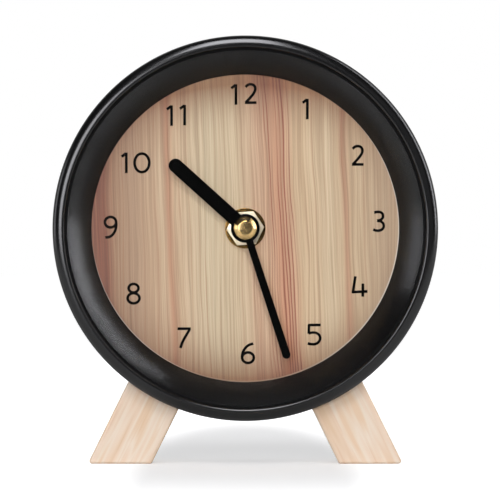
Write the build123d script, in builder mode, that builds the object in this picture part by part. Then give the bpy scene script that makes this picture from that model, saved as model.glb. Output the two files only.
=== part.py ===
from build123d import *
from math import acos, cos, pi, radians, sin, sqrt, tan
import os

# Desk clock: a round black case on two splayed pine legs, with a wood dial and a quartz movement.
# Lengths are in millimetres. X points right, Y points back and Z points up, as seen from the front.
# The origin lies on the desk, under the middle of the case. A depth is counted back from the front
# of the case's lip, and a place is counted right and up from the middle of the dial.

# Fits: radial gaps of parts that turn, of parts that slip in and of parts that are pressed on
running_fit = 0.05
seat_fit = 0.1
press_gap = 0.02
cut_overrun = 1.0

# Case
case_diameter = 115.0
case_wall = 1.8
lip_overhang = 1.8
lip_depth = 5.0
lip_crest_inset = 0.7
lip_inner_fall = 0.6
lip_outer_fall = 1.7
rear_recess = 6.5
rear_edge_radius = 1.0
case_lift = 13.0

# Lens, bezel and dial
lens_recess = 1.7
lens_thickness = 1.6
lens_chamfer = 0.3
lens_ring_width = 0.7
lens_ring_height = 0.6
bezel_width = 8.0
bezel_wall = 1.5
bezel_ledge = 0.5
dial_thickness = 2.0
shelf_width = 4.0
shelf_thickness = 2.0

# Hands and the cap that holds them
hand_clearance = 0.5
hand_gap = 0.4
hand_thickness = 0.5
hour_hand_angle = 312.0
hour_hand_margin = 15.8
hour_hand_width = 4.2
hour_hub_diameter = 8.0
minute_hand_angle = 162.0
minute_hand_margin = 5.0
minute_hand_root_width = 2.15
minute_hand_tip_width = 2.45
minute_hub_diameter = 8.6
cap_diameter = 6.8
cap_height = 1.4
cap_rim = 0.4
cap_skin = 0.6

# Hand stack: minute arbor inside the hour tube, inside the threaded bushing
minute_arbor_radius = 1.5
tube_wall = 0.75
tube_show = 0.2
bushing_wall = 1.1
bushing_show = 0.5
bushing_flange_width = 1.6
bushing_flange_thickness = 0.8
nut_across_flats = 9.8
nut_thickness = 1.8
nut_chamfer = 0.5
nut_turn = 4.0
washer_diameter = 12.1
washer_thickness = 0.4
gasket_diameter = 30.0
gasket_thickness = 1.0

# Wheels of the movement: teeth, centre distances and directions, counted from three o'clock
cannon_teeth = 12
motion_teeth = 36
motion_pinion_teeth = 10
hour_teeth = 40
set_teeth = 12
centre_teeth = 64
third_pinion_teeth = 8
third_teeth = 60
seconds_pinion_teeth = 8
seconds_teeth = 60
fifth_pinion_teeth = 10
fifth_teeth = 40
rotor_teeth = 8
motion_distance = 10.4
third_distance = 10.2
fifth_distance = 10.15
rotor_distance = 6.72
motion_angle = radians(170)
set_angle = radians(190)
third_angle = radians(30)
fifth_angle = radians(100)
rotor_angle = radians(140)
pressure_angle = radians(20)
addendum_share = 0.8
dedendum_share = 1.1
backlash = 0.07

# Layers and arbors of the movement
wheel_thickness = 1.0
layer_gap = 0.8
pinion_overhang = 0.25
end_play = 0.1
arbor_radius = 0.6
pivot_radius = 0.4
pivot_depth = 0.7
centre_seat_radius = 1.2

# Movement housing
movement_wall = 1.2
movement_floor = 1.2
movement_rear_wall = 1.3
movement_corner_radius = 3.0
divider_wall = 1.0
chamber_clearance = 1.5
rear_room = 3.0

# Stepping motor
magnet_radius = 2.6
magnet_length = 4.0
stator_thickness = 0.8
stator_air_gap = 0.5
stator_ring_width = 1.5
stator_strip_width = 4.8
stator_arm_width = 4.0
stator_arm_gap = 1.6
stator_post_radius = 1.6
stator_pin_radius = 0.8
coil_length = 17.2
coil_radius = 3.4
coil_gap = 0.3
coil_top_gap = 0.8
coil_flange = 0.8
coil_flange_rise = 0.2
bobbin_tube_radius = 1.9
core_thickness = 0.8
core_height = 2.4

# Circuit board
board_thickness = 1.0
board_height = 26.0
board_gap = 0.8
board_arbor_gap = 1.6
board_post_radius = 1.5
board_pin_radius = 0.9
board_pin_show = 0.3
board_post_inset = 3.0
crystal_diameter = 2.0
crystal_length = 6.0
crystal_inset = 4.0
chip_diameter = 6.0
chip_height = 1.0

# Battery cell and its contacts
cell_diameter = 14.5
cell_length = 50.5
cell_clearance = 0.25
cell_edge_radius = 0.8
cell_nub_diameter = 5.4
cell_nub_length = 1.2
contact_thickness = 0.4
contact_bump = 1.0
contact_bump_radius = 2.0
contact_gap = 0.15
contact_width = 8.0
contact_height = 10.0
contact_neck_width = 3.0
contact_foot_length = 3.0
contact_foot_height = 4.0
contact_slot_gap = 0.2

# Setting knob
set_shaft_radius = 1.2
knob_diameter = 11.0
knob_height = 3.8
knob_gap = 0.3
knob_flutes = 20
knob_flute_radius = 0.5
knob_edge_radius = 0.5
knob_recess_depth = 0.4
knob_recess_gap = 0.8

# Rear cover and its screws
cover_thickness = 2.0
cover_fit = 0.3
cover_window_gap = 0.5
cover_edge_chamfer = 0.5
cover_rim_height = 2.0
cover_window_rim_width = 1.4
cover_window_rim_height = 1.0
cover_screw_count = 3
cover_screw_start = 90.0
cover_screw_length = 8.0
boss_radius = 4.6
boss_merge = 0.3
screw_shank_radius = 1.4
screw_head_radius = 2.6
screw_head_height = 1.8
screw_hole_gap = 0.3
screw_slot_width = 0.8
screw_slot_depth = 0.8

# Legs and their screws
leg_lean = radians(26.3)
leg_station = radians(28.9)
leg_width = 17.2
leg_front_setback = 2.5
leg_rear_setback = 2.5
leg_edge_radius = 0.9
leg_seat_gap = 0.05
leg_screw_spacing = 8.0
leg_screw_length = 14.0
leg_spot_depth = 0.3

# Radii of the case, from the lip inwards, and the height of its axis
lip_radius = case_diameter / 2
barrel_radius = lip_radius - lip_overhang
bore_radius = barrel_radius - case_wall
lip_crest_radius = bore_radius + lip_crest_inset
shelf_radius = bore_radius - shelf_width
fitted_radius = bore_radius - seat_fit
dial_opening_radius = bore_radius - bezel_width
axis_height = lip_radius + case_lift

# Depths in front of the dial, from the lip backwards
lens_ring_front = lens_recess - lens_ring_height
lens_back = lens_recess + lens_thickness
cap_front = lens_back + hand_clearance
minute_hand_front = cap_front + cap_height
minute_hand_back = minute_hand_front + hand_thickness
tube_tip = minute_hand_back + hand_gap
hour_hand_front = tube_tip + tube_show
hour_hand_back = hour_hand_front + hand_thickness
bushing_tip = hour_hand_back + hand_gap
nut_front = bushing_tip + bushing_show
washer_front = nut_front + nut_thickness
dial_front = washer_front + washer_thickness
dial_back = dial_front + dial_thickness
shelf_back = dial_back + shelf_thickness

# Depths inside the movement, one layer of wheels behind the other
movement_front = dial_back + gasket_thickness
chamber_front = movement_front + movement_floor
flange_back = chamber_front + bushing_flange_thickness
hour_front = flange_back + 2 * end_play
layer_step = wheel_thickness + layer_gap
motion_front = hour_front + layer_step
centre_front = motion_front + layer_step
third_front = centre_front + layer_step
seconds_front = third_front + layer_step
fifth_front = seconds_front + layer_step
chamber_back = fifth_front + wheel_thickness + rear_room
movement_back = chamber_back + movement_rear_wall
parting_depth = (movement_front + movement_back) / 2
cover_front = movement_back - cover_thickness
case_depth = movement_back + rear_recess
front_y = -case_depth / 2

# Radii of the hand stack, from the arbor outwards
tube_bore_radius = minute_arbor_radius + running_fit
tube_radius = tube_bore_radius + tube_wall
bushing_bore_radius = tube_radius + running_fit
bushing_radius = bushing_bore_radius + bushing_wall
bushing_flange_radius = bushing_radius + bushing_flange_width


def mesh_module(distance, teeth, mate_teeth):
    """Module of two wheels that mesh at a centre distance."""
    return 2 * distance / (teeth + mate_teeth)


def moved(place, distance, angle):
    """Place at a distance and direction from another place."""
    return (place[0] + distance * cos(angle), place[1] + distance * sin(angle))


def mated_turn(turn, teeth, angle, mate_teeth):
    """Turn of a wheel whose gap faces the tooth of its mate, which lies at the opposite of angle."""
    phase = (angle - turn) * teeth / (2 * pi)
    return angle + pi - (1 / 2 - phase) * 2 * pi / mate_teeth


# Modules, places and turns of the wheels
motion_module = mesh_module(motion_distance, cannon_teeth, motion_teeth)
hour_module = mesh_module(motion_distance, motion_pinion_teeth, hour_teeth)
centre_module = mesh_module(third_distance, centre_teeth, third_pinion_teeth)
third_module = mesh_module(third_distance, third_teeth, seconds_pinion_teeth)
seconds_module = mesh_module(fifth_distance, seconds_teeth, fifth_pinion_teeth)
fifth_module = mesh_module(rotor_distance, fifth_teeth, rotor_teeth)
set_distance = motion_module * (motion_teeth + set_teeth) / 2
middle = (0, 0)
motion_place = moved(middle, motion_distance, motion_angle)
set_place = moved(motion_place, set_distance, set_angle)
third_place = moved(middle, third_distance, third_angle)
fifth_place = moved(middle, fifth_distance, fifth_angle)
rotor_place = moved(fifth_place, rotor_distance, rotor_angle)
motion_turn = mated_turn(0, cannon_teeth, motion_angle, motion_teeth)
set_turn = mated_turn(motion_turn, motion_teeth, set_angle, set_teeth)
motion_pinion_turn = mated_turn(0, hour_teeth, motion_angle, motion_pinion_teeth)
third_pinion_turn = mated_turn(0, centre_teeth, third_angle, third_pinion_teeth)
third_turn = mated_turn(0, seconds_pinion_teeth, third_angle, third_teeth)
fifth_pinion_turn = mated_turn(0, seconds_teeth, fifth_angle, fifth_pinion_teeth)
rotor_turn = mated_turn(0, fifth_teeth, rotor_angle, rotor_teeth)

# Stepping motor: the stator lies in the layer of the centre wheel, with the coil above it
stator_hole_radius = magnet_radius + stator_air_gap
stator_ring_radius = stator_hole_radius + stator_ring_width
stator_back = centre_front + stator_thickness
coil_depth = stator_back + core_thickness / 2
coil_height = rotor_place[1] + stator_ring_radius + coil_gap + coil_radius
arm_reach = coil_length / 2 + stator_arm_gap + stator_arm_width / 2
arm_places = [(rotor_place[0] + side * arm_reach, coil_height) for side in (-1, 1)]

# Movement chamber and battery bay, as heights above the middle of the dial
centre_tip_radius = centre_module * (centre_teeth / 2 + addendum_share)
chamber_low = -(centre_tip_radius + chamber_clearance)
chamber_high = coil_height + coil_radius + coil_top_gap
bay_high = chamber_low - divider_wall
bay_low = bay_high - cell_diameter - 2 * cell_clearance
cell_height = (bay_high + bay_low) / 2
cell_depth = chamber_front + cell_clearance + cell_diameter / 2
contact_room = contact_thickness + contact_bump + contact_gap
chamber_half_width = cell_length / 2 + contact_room
movement_half_width = chamber_half_width + movement_wall
movement_low = bay_low - movement_wall
movement_high = chamber_high + movement_wall

# Circuit board, in the layer of the fifth wheel
board_front = fifth_front
board_back = board_front + board_thickness
board_left = third_place[0] + arbor_radius + board_arbor_gap
board_right = chamber_half_width - board_gap
board_low = chamber_low + board_gap
board_high = board_low + board_height
board_middle = (board_left + board_right) / 2
board_post_heights = (board_low + board_post_inset, board_high - board_post_inset)
board_post_places = [(board_middle, height) for height in board_post_heights]

# Rear cover screws and leg screws
boss_circle_radius = bore_radius - boss_radius + boss_merge
leg_screw_middle = (shelf_back + cover_front) / 2
leg_screw_depths = [leg_screw_middle - leg_screw_spacing / 2, leg_screw_middle + leg_screw_spacing / 2]
leg_screw_seat_radius = bore_radius + leg_spot_depth

case_axis = Axis((0, front_y, axis_height), (0, 1, 0))
section = Plane((0, front_y, axis_height), x_dir=(1, 0, 0), z_dir=(0, 0, 1))


def facing(depth, place=middle, turn=0):
    """Plane that faces the front at a depth, with its upright turned clockwise by an angle in degrees."""
    right = (cos(radians(turn)), 0, -sin(radians(turn)))
    return Plane((place[0], front_y + depth, axis_height + place[1]), x_dir=right, z_dir=(0, -1, 0))


def crosswise(across, height, depth):
    """Plane that faces right, with its own x along the depth and its own y upwards."""
    return Plane((across, front_y + depth, axis_height + height), x_dir=(0, 1, 0), z_dir=(1, 0, 0))


def radial(side, depth, radius):
    """Plane that faces outwards along a leg screw, at a radius from the case's axis."""
    outwards = (side * sin(leg_station), 0, -cos(leg_station))
    origin = (radius * outwards[0], front_y + depth, axis_height + radius * outwards[2])
    return Plane(origin, x_dir=(0, 1, 0), z_dir=outwards)


def add_bar(radius, front, back, place=middle, mode=Mode.ADD):
    """Round bar along the depth, between two depths."""
    with BuildSketch(facing(back, place)) as disc:
        Circle(radius)
    extrude(disc.sketch, amount=back - front, mode=mode)


def add_block(left, right, low, high, front, back, mode=Mode.ADD):
    """Upright block between two places across, two heights and two depths."""
    with BuildSketch(facing(back)) as face:
        with Locations(((left + right) / 2, (low + high) / 2)):
            Rectangle(right - left, high - low)
    extrude(face.sketch, amount=back - front, mode=mode)


def cut_room(low, high, front, back):
    """Hollow of the movement housing, as wide as its walls allow."""
    add_block(-chamber_half_width, chamber_half_width, low, high, front, back, mode=Mode.SUBTRACT)


def tooth_points(teeth, module, turn, flank_steps):
    """Outline of a spur wheel with involute flanks, one tooth of which points along turn."""
    pitch_radius = teeth * module / 2
    base_radius = pitch_radius * cos(pressure_angle)
    tip_radius = pitch_radius + addendum_share * module
    root_radius = pitch_radius - dedendum_share * module
    flank_start = max(base_radius, root_radius)
    pitch_half_angle = pi / 2 / teeth - backlash / 2 / pitch_radius

    def involute(radius):
        return sqrt((radius / base_radius) ** 2 - 1) - acos(base_radius / radius)

    flank_rise = (tip_radius - flank_start) / flank_steps
    flank = [flank_start + flank_rise * step for step in range(flank_steps + 1)]
    half_angles = [pitch_half_angle + involute(pitch_radius) - involute(radius) for radius in flank]
    if root_radius < base_radius:
        flank.insert(0, root_radius)
        half_angles.insert(0, half_angles[0])
    points = []
    for tooth in range(teeth):
        middle_angle = turn + 2 * pi * tooth / teeth
        rising = [(radius, middle_angle - half) for radius, half in zip(flank, half_angles)]
        falling = [(radius, middle_angle + half) for radius, half in zip(flank, half_angles)]
        for radius, angle in rising + falling[::-1]:
            points.append((radius * cos(angle), radius * sin(angle)))
    return points


def add_teeth(teeth, module, turn, front, back, place=middle, flank_steps=1):
    """Toothed disc between two depths."""
    with BuildSketch(facing(back, place)) as disc:
        with BuildLine():
            Polyline(*tooth_points(teeth, module, turn, flank_steps), close=True)
        make_face()
    extrude(disc.sketch, amount=back - front)


def add_wheel(teeth, module, turn, layer_front, place=middle):
    """Wheel in its layer."""
    add_teeth(teeth, module, turn, layer_front, layer_front + wheel_thickness, place)


def add_pinion(teeth, module, turn, layer_front, place=middle):
    """Pinion that stands a little proud of the wheel that it drives."""
    front = layer_front - pinion_overhang
    back = layer_front + wheel_thickness + pinion_overhang
    add_teeth(teeth, module, turn, front, back, place, flank_steps=2)


def add_arbor(place, front, back):
    """Arbor between two shoulders, with a thin pivot at each end."""
    add_bar(arbor_radius, front, back, place)
    add_bar(pivot_radius, front - pivot_depth, back + pivot_depth, place)


def cut_pivot_hole(place, front, back):
    """Blind hole for a pivot, from the face inside the chamber."""
    add_bar(pivot_radius + running_fit, front, back, place, mode=Mode.SUBTRACT)


def add_screw(plane, length):
    """Round-headed screw with a slot, seated on a plane that faces the way the screw points."""
    with BuildSketch(plane) as shank:
        Circle(screw_shank_radius)
    extrude(shank.sketch, amount=length)
    with BuildSketch(plane) as head:
        Circle(screw_head_radius)
    extrude(head.sketch, amount=-screw_head_height)
    with BuildSketch(plane.offset(-screw_head_height)) as slot:
        Rectangle(2 * (screw_head_radius + cut_overrun), screw_slot_width)
    extrude(slot.sketch, amount=screw_slot_depth, mode=Mode.SUBTRACT)


os.makedirs("parts", exist_ok=True)

# Case shell: barrel with a lip that rolls outwards in front, a shelf for the dial and bosses for the rear cover
with BuildPart() as case_shell:
    with BuildSketch(section):
        with BuildLine():
            crest = (lip_crest_radius, 0)
            inner_rim = (bore_radius, lip_inner_fall)
            outer_rim = (lip_radius, lip_outer_fall)
            TangentArc(crest, inner_rim, tangent=(-1, 0))
            TangentArc(crest, outer_rim, tangent=(1, 0))
            outside = Polyline(
                outer_rim,
                (lip_radius, lip_depth),
                (barrel_radius, lip_depth),
                (barrel_radius, case_depth - rear_edge_radius),
            )
            rear_edge = TangentArc(
                outside @ 1,
                (barrel_radius - rear_edge_radius, case_depth),
                tangent=outside % 1,
            )
            Polyline(
                rear_edge @ 1,
                (bore_radius, case_depth),
                (bore_radius, shelf_back),
                (shelf_radius, shelf_back),
                (shelf_radius, dial_back),
                (bore_radius, dial_back),
                inner_rim,
            )
        make_face()
    revolve(axis=case_axis)
    with BuildSketch(facing(cover_front)):
        with PolarLocations(boss_circle_radius, cover_screw_count, start_angle=cover_screw_start):
            Circle(boss_radius)
    extrude(amount=cover_front - shelf_back)
    with BuildSketch(facing(cover_front)):
        with PolarLocations(boss_circle_radius, cover_screw_count, start_angle=cover_screw_start):
            Circle(screw_shank_radius + press_gap)
    extrude(amount=cover_screw_length, mode=Mode.SUBTRACT)
    for side in (-1, 1):
        for depth in leg_screw_depths:
            with BuildSketch(radial(side, depth, bore_radius - cut_overrun)):
                Circle(screw_shank_radius + screw_hole_gap)
            extrude(amount=case_wall + 2 * cut_overrun, mode=Mode.SUBTRACT)
            with BuildSketch(radial(side, depth, leg_screw_seat_radius)):
                Circle(screw_head_radius + screw_hole_gap)
            extrude(amount=-leg_spot_depth - cut_overrun, mode=Mode.SUBTRACT)
case_shell.part.label = "case_shell"
export_step(case_shell.part, "parts/case_shell.step")

# Bezel ring: satin cone that slopes from the lens down to the dial
with BuildPart() as bezel_ring:
    with BuildSketch(section):
        with BuildLine():
            Polyline(
                (fitted_radius, lens_back),
                (fitted_radius - bezel_ledge, lens_back),
                (dial_opening_radius, dial_front),
                (dial_opening_radius + bezel_wall, dial_front),
                (fitted_radius - bezel_ledge, lens_back + bezel_wall),
                (fitted_radius - bezel_ledge, dial_front),
                (fitted_radius, dial_front),
                close=True,
            )
        make_face()
    revolve(axis=case_axis)
bezel_ring.part.label = "bezel_ring"
export_step(bezel_ring.part, "parts/bezel_ring.step")

# Lens: clear flat disc that lies on the bezel ring, inside the lip
with BuildPart() as lens:
    add_bar(fitted_radius, lens_recess, lens_back)
    chamfer(lens.edges().filter_by(GeomType.CIRCLE), length=lens_chamfer)
lens.part.label = "lens"
export_step(lens.part, "parts/lens.step")

# Lens ring: soft ring pressed into the lip in front of the lens, which it holds on the bezel ring
with BuildPart() as lens_ring:
    add_bar(fitted_radius, lens_ring_front, lens_recess)
    add_bar(fitted_radius - lens_ring_width, lens_ring_front, lens_recess, mode=Mode.SUBTRACT)
lens_ring.part.label = "lens_ring"
export_step(lens_ring.part, "parts/lens_ring.step")

# Dial plate: wood-faced disc on the case's shelf, with a hole for the bushing
with BuildPart() as dial_plate:
    add_bar(fitted_radius, dial_front, dial_back)
    add_bar(bushing_radius + seat_fit, dial_front, dial_back, mode=Mode.SUBTRACT)
dial_plate.part.label = "dial_plate"
export_step(dial_plate.part, "parts/dial_plate.step")

# Rear cover: disc with a rim round its edge and round the window that shows the back of the movement
cover_radius = bore_radius - cover_fit
cover_rim_radius = boss_circle_radius + screw_head_radius + screw_hole_gap
cover_rim_back = movement_back + cover_rim_height
window_rim_back = movement_back + cover_window_rim_height
movement_middle = (0, (movement_low + movement_high) / 2)


def window_outline(margin):
    """Outline of the movement's back with a margin all round, in the sketch that is open."""
    across = 2 * (movement_half_width + margin)
    RectangleRounded(across, movement_high - movement_low + 2 * margin, movement_corner_radius + margin)


with BuildPart() as rear_cover:
    add_bar(cover_radius, cover_front, cover_rim_back)
    chamfer(rear_cover.edges().group_by(Axis.Y)[-1], length=cover_edge_chamfer)
    add_bar(cover_rim_radius, movement_back, cover_rim_back, mode=Mode.SUBTRACT)
    with BuildSketch(facing(window_rim_back, movement_middle)):
        window_outline(cover_window_gap + cover_window_rim_width)
    extrude(amount=cover_window_rim_height)
    with BuildSketch(facing(window_rim_back, movement_middle)):
        window_outline(cover_window_gap)
    extrude(amount=window_rim_back - cover_front, mode=Mode.SUBTRACT)
    with BuildSketch(facing(movement_back)):
        with PolarLocations(boss_circle_radius, cover_screw_count, start_angle=cover_screw_start):
            Circle(screw_shank_radius + screw_hole_gap)
    extrude(amount=cover_thickness, mode=Mode.SUBTRACT)
rear_cover.part.label = "rear_cover"
export_step(rear_cover.part, "parts/rear_cover.step")

# Rear cover screws: they pass through the cover into the bosses of the case
with BuildPart() as rear_cover_screws:
    for index in range(cover_screw_count):
        screw_angle = radians(cover_screw_start) + 2 * pi * index / cover_screw_count
        add_screw(facing(movement_back, moved(middle, boss_circle_radius, screw_angle)), cover_screw_length)
rear_cover_screws.part.label = "rear_cover_screws"
export_step(rear_cover_screws.part, "parts/rear_cover_screws.step")

# Legs: leaning blocks of pine, hollowed at the top to fit the barrel
leg_front = lip_depth + leg_front_setback
leg_back = case_depth - leg_rear_setback
leg_drop = axis_height - barrel_radius * cos(leg_station)
leg_foot_across = barrel_radius * sin(leg_station) + leg_drop * tan(leg_lean)
leg_foot_half = leg_width / 2 / cos(leg_lean)
leg_top_height = leg_width * cos(leg_lean) - barrel_radius * cos(leg_station)
leg_top_across = barrel_radius * sin(leg_station) - leg_width * sin(leg_lean)
for side, leg_name in ((-1, "left_leg"), (1, "right_leg")):
    with BuildPart() as leg:
        with BuildSketch(facing(leg_back)):
            with BuildLine():
                Polyline(
                    (side * (leg_foot_across - leg_foot_half), -axis_height),
                    (side * (leg_foot_across + leg_foot_half), -axis_height),
                    (side * (leg_top_across + leg_foot_half), leg_top_height),
                    (side * (leg_top_across - leg_foot_half), leg_top_height),
                    close=True,
                )
            make_face()
        extrude(amount=leg_back - leg_front)
        upright_edges = leg.edges().filter_by(Axis.Y, reverse=True).filter_by(Axis.X, reverse=True)
        foot_edges = leg.edges().group_by(Axis.Z)[0]
        fillet(upright_edges + foot_edges, radius=leg_edge_radius)
        add_bar(barrel_radius + leg_seat_gap, 0, case_depth, mode=Mode.SUBTRACT)
        for depth in leg_screw_depths:
            with BuildSketch(radial(side, depth, barrel_radius - cut_overrun)):
                Circle(screw_shank_radius + press_gap)
            extrude(amount=leg_screw_length + cut_overrun, mode=Mode.SUBTRACT)
    leg.part.label = leg_name
    export_step(leg.part, f"parts/{leg_name}.step")

# Leg screws: two for each leg, driven from inside the barrel
with BuildPart() as leg_screws:
    for side in (-1, 1):
        for depth in leg_screw_depths:
            add_screw(radial(side, depth, leg_screw_seat_radius), leg_screw_length)
leg_screws.part.label = "leg_screws"
export_step(leg_screws.part, "parts/leg_screws.step")

# Washer and hexagon nut: they clamp the dial to the movement
with BuildPart() as dial_washer:
    add_bar(washer_diameter / 2, washer_front, dial_front)
    add_bar(bushing_radius + seat_fit, washer_front, dial_front, mode=Mode.SUBTRACT)
dial_washer.part.label = "dial_washer"
export_step(dial_washer.part, "parts/dial_washer.step")

with BuildPart() as hex_nut:
    with BuildSketch(facing(washer_front, turn=-nut_turn)):
        RegularPolygon(nut_across_flats / 2, 6, major_radius=False)
        Circle(bushing_radius + press_gap, mode=Mode.SUBTRACT)
    extrude(amount=nut_thickness)
    nut_corner_radius = nut_across_flats / 2 / cos(pi / 6)
    with BuildSketch(section):
        with BuildLine():
            Polyline(
                (0, nut_front),
                (nut_corner_radius - nut_chamfer, nut_front),
                (nut_corner_radius, nut_front + nut_chamfer / 2),
                (nut_corner_radius, washer_front),
                (0, washer_front),
                close=True,
            )
        make_face()
    revolve(axis=case_axis, mode=Mode.INTERSECT)
hex_nut.part.label = "hex_nut"
export_step(hex_nut.part, "parts/hex_nut.step")

# Threaded bushing: brass tube with a flange inside the movement
with BuildPart() as threaded_bushing:
    add_bar(bushing_radius, bushing_tip, flange_back)
    add_bar(bushing_flange_radius, chamber_front, flange_back)
    add_bar(bushing_bore_radius, bushing_tip, flange_back, mode=Mode.SUBTRACT)
threaded_bushing.part.label = "threaded_bushing"
export_step(threaded_bushing.part, "parts/threaded_bushing.step")

# Rubber gasket between the dial and the movement
with BuildPart() as rubber_gasket:
    add_bar(gasket_diameter / 2, dial_back, movement_front)
    add_bar(bushing_radius + seat_fit, dial_back, movement_front, mode=Mode.SUBTRACT)
rubber_gasket.part.label = "rubber_gasket"
export_step(rubber_gasket.part, "parts/rubber_gasket.step")

# Hands: flat black sheet with a round end and a ring round the arbor
with BuildPart() as hour_hand:
    hour_hand_length = dial_opening_radius - hour_hand_margin
    hour_hand_straight = hour_hand_length - hour_hand_width / 2
    with BuildSketch(facing(hour_hand_back, turn=hour_hand_angle)):
        Circle(hour_hub_diameter / 2)
        with Locations((0, hour_hand_straight / 2)):
            Rectangle(hour_hand_width, hour_hand_straight)
        with Locations((0, hour_hand_straight)):
            Circle(hour_hand_width / 2)
        Circle(tube_radius + press_gap, mode=Mode.SUBTRACT)
    extrude(amount=hand_thickness)
hour_hand.part.label = "hour_hand"
export_step(hour_hand.part, "parts/hour_hand.step")

with BuildPart() as minute_hand:
    minute_hand_length = dial_opening_radius - minute_hand_margin
    minute_hand_straight = minute_hand_length - minute_hand_tip_width / 2
    with BuildSketch(facing(minute_hand_back, turn=minute_hand_angle)):
        with BuildLine():
            Polyline(
                (-minute_hand_root_width / 2, 0),
                (minute_hand_root_width / 2, 0),
                (minute_hand_tip_width / 2, minute_hand_straight),
                (-minute_hand_tip_width / 2, minute_hand_straight),
                close=True,
            )
        make_face()
        with Locations((0, minute_hand_straight)):
            Circle(minute_hand_tip_width / 2)
        Circle(minute_hub_diameter / 2)
        Circle(minute_arbor_radius + press_gap, mode=Mode.SUBTRACT)
    extrude(amount=hand_thickness)
minute_hand.part.label = "minute_hand"
export_step(minute_hand.part, "parts/minute_hand.step")

# Cap nut: polished dome that holds the minute hand
arbor_tip = cap_front + cap_skin
with BuildPart() as cap_nut:
    with BuildSketch(section):
        with BuildLine():
            cap_radius = cap_diameter / 2
            rim_top = (cap_radius, minute_hand_front - cap_rim)
            TangentArc((0, cap_front), rim_top, tangent=(1, 0))
            Polyline(
                rim_top,
                (cap_radius, minute_hand_front),
                (minute_arbor_radius + press_gap, minute_hand_front),
                (minute_arbor_radius + press_gap, arbor_tip),
                (0, arbor_tip),
                (0, cap_front),
            )
        make_face()
    revolve(axis=case_axis)
cap_nut.part.label = "cap_nut"
export_step(cap_nut.part, "parts/cap_nut.step")

# Movement housing, front half: floor, outer wall, divider above the battery bay and bearing holes
with BuildPart() as movement_front_case:
    with BuildSketch(facing(parting_depth, movement_middle)):
        window_outline(0)
    extrude(amount=parting_depth - movement_front)
    for low, high in ((chamber_low, chamber_high), (bay_low, bay_high)):
        cut_room(low, high, chamber_front, parting_depth)
    add_bar(bushing_radius + press_gap, movement_front, chamber_front, mode=Mode.SUBTRACT)
    for place in (motion_place, set_place, third_place, fifth_place, rotor_place):
        cut_pivot_hole(place, chamber_front - pivot_depth, chamber_front)
    for place in arm_places:
        add_bar(stator_post_radius, chamber_front, centre_front, place)
        add_bar(stator_pin_radius, centre_front, stator_back + core_thickness, place)
movement_front_case.part.label = "movement_front_case"
export_step(movement_front_case.part, "parts/movement_front_case.step")

# Movement housing, rear half: it closes the wheels in and leaves the battery bay open to the back
contact_neck_front = board_back - contact_neck_width
with BuildPart() as movement_rear_case:
    with BuildSketch(facing(movement_back, movement_middle)):
        window_outline(0)
    extrude(amount=movement_back - parting_depth)
    cut_room(chamber_low, chamber_high, parting_depth, chamber_back)
    cut_room(bay_low, bay_high, parting_depth, movement_back)
    for side in (-1, 1):
        slot_ends = sorted((side * chamber_half_width, side * (chamber_half_width - 2 * contact_thickness)))
        add_block(
            *slot_ends,
            bay_high,
            chamber_low,
            contact_neck_front - contact_slot_gap,
            board_back + contact_thickness + contact_slot_gap,
            mode=Mode.SUBTRACT,
        )
    for place in (middle, motion_place, third_place, fifth_place, rotor_place):
        cut_pivot_hole(place, chamber_back, chamber_back + pivot_depth)
    add_bar(set_shaft_radius + running_fit, chamber_back, movement_back, set_place, mode=Mode.SUBTRACT)
    add_bar(
        knob_diameter / 2 + knob_recess_gap,
        movement_back - knob_recess_depth,
        movement_back,
        set_place,
        mode=Mode.SUBTRACT,
    )
    for place in board_post_places:
        add_bar(board_post_radius, board_back, chamber_back, place)
        add_bar(board_pin_radius, board_front - board_pin_show, board_back, place)
movement_rear_case.part.label = "movement_rear_case"
export_step(movement_rear_case.part, "parts/movement_rear_case.step")

# Motion work: the minute arbor drives the hour wheel through the motion wheel
shoulder_front = chamber_front + end_play
shoulder_back = chamber_back - end_play
cannon_back = motion_front + wheel_thickness + pinion_overhang
centre_seat_back = centre_front + wheel_thickness + layer_gap / 4
with BuildPart() as minute_arbor:
    add_bar(minute_arbor_radius, arbor_tip, cannon_back)
    add_pinion(cannon_teeth, motion_module, 0, motion_front)
    add_bar(centre_seat_radius, cannon_back, centre_seat_back)
    add_bar(pivot_radius + running_fit, centre_front, centre_seat_back, mode=Mode.SUBTRACT)
minute_arbor.part.label = "minute_arbor"
export_step(minute_arbor.part, "parts/minute_arbor.step")

with BuildPart() as hour_wheel:
    add_wheel(hour_teeth, hour_module, 0, hour_front)
    add_bar(tube_radius, tube_tip, hour_front + wheel_thickness)
    add_bar(tube_bore_radius, tube_tip, hour_front + wheel_thickness, mode=Mode.SUBTRACT)
hour_wheel.part.label = "hour_wheel"
export_step(hour_wheel.part, "parts/hour_wheel.step")

with BuildPart() as motion_wheel:
    add_arbor(motion_place, shoulder_front, shoulder_back)
    add_wheel(motion_teeth, motion_module, motion_turn, motion_front, motion_place)
    add_pinion(motion_pinion_teeth, hour_module, motion_pinion_turn, hour_front, motion_place)
motion_wheel.part.label = "motion_wheel"
export_step(motion_wheel.part, "parts/motion_wheel.step")

# Setting shaft and knob: the knob at the back turns the motion wheel
knob_front = movement_back + knob_gap
knob_back = knob_front + knob_height
with BuildPart() as set_shaft:
    add_bar(set_shaft_radius, shoulder_front, knob_back - knob_height / 4, set_place)
    add_bar(pivot_radius, chamber_front - pivot_depth, shoulder_front, set_place)
    add_pinion(set_teeth, motion_module, set_turn, motion_front, set_place)
set_shaft.part.label = "set_shaft"
export_step(set_shaft.part, "parts/set_shaft.step")

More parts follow.
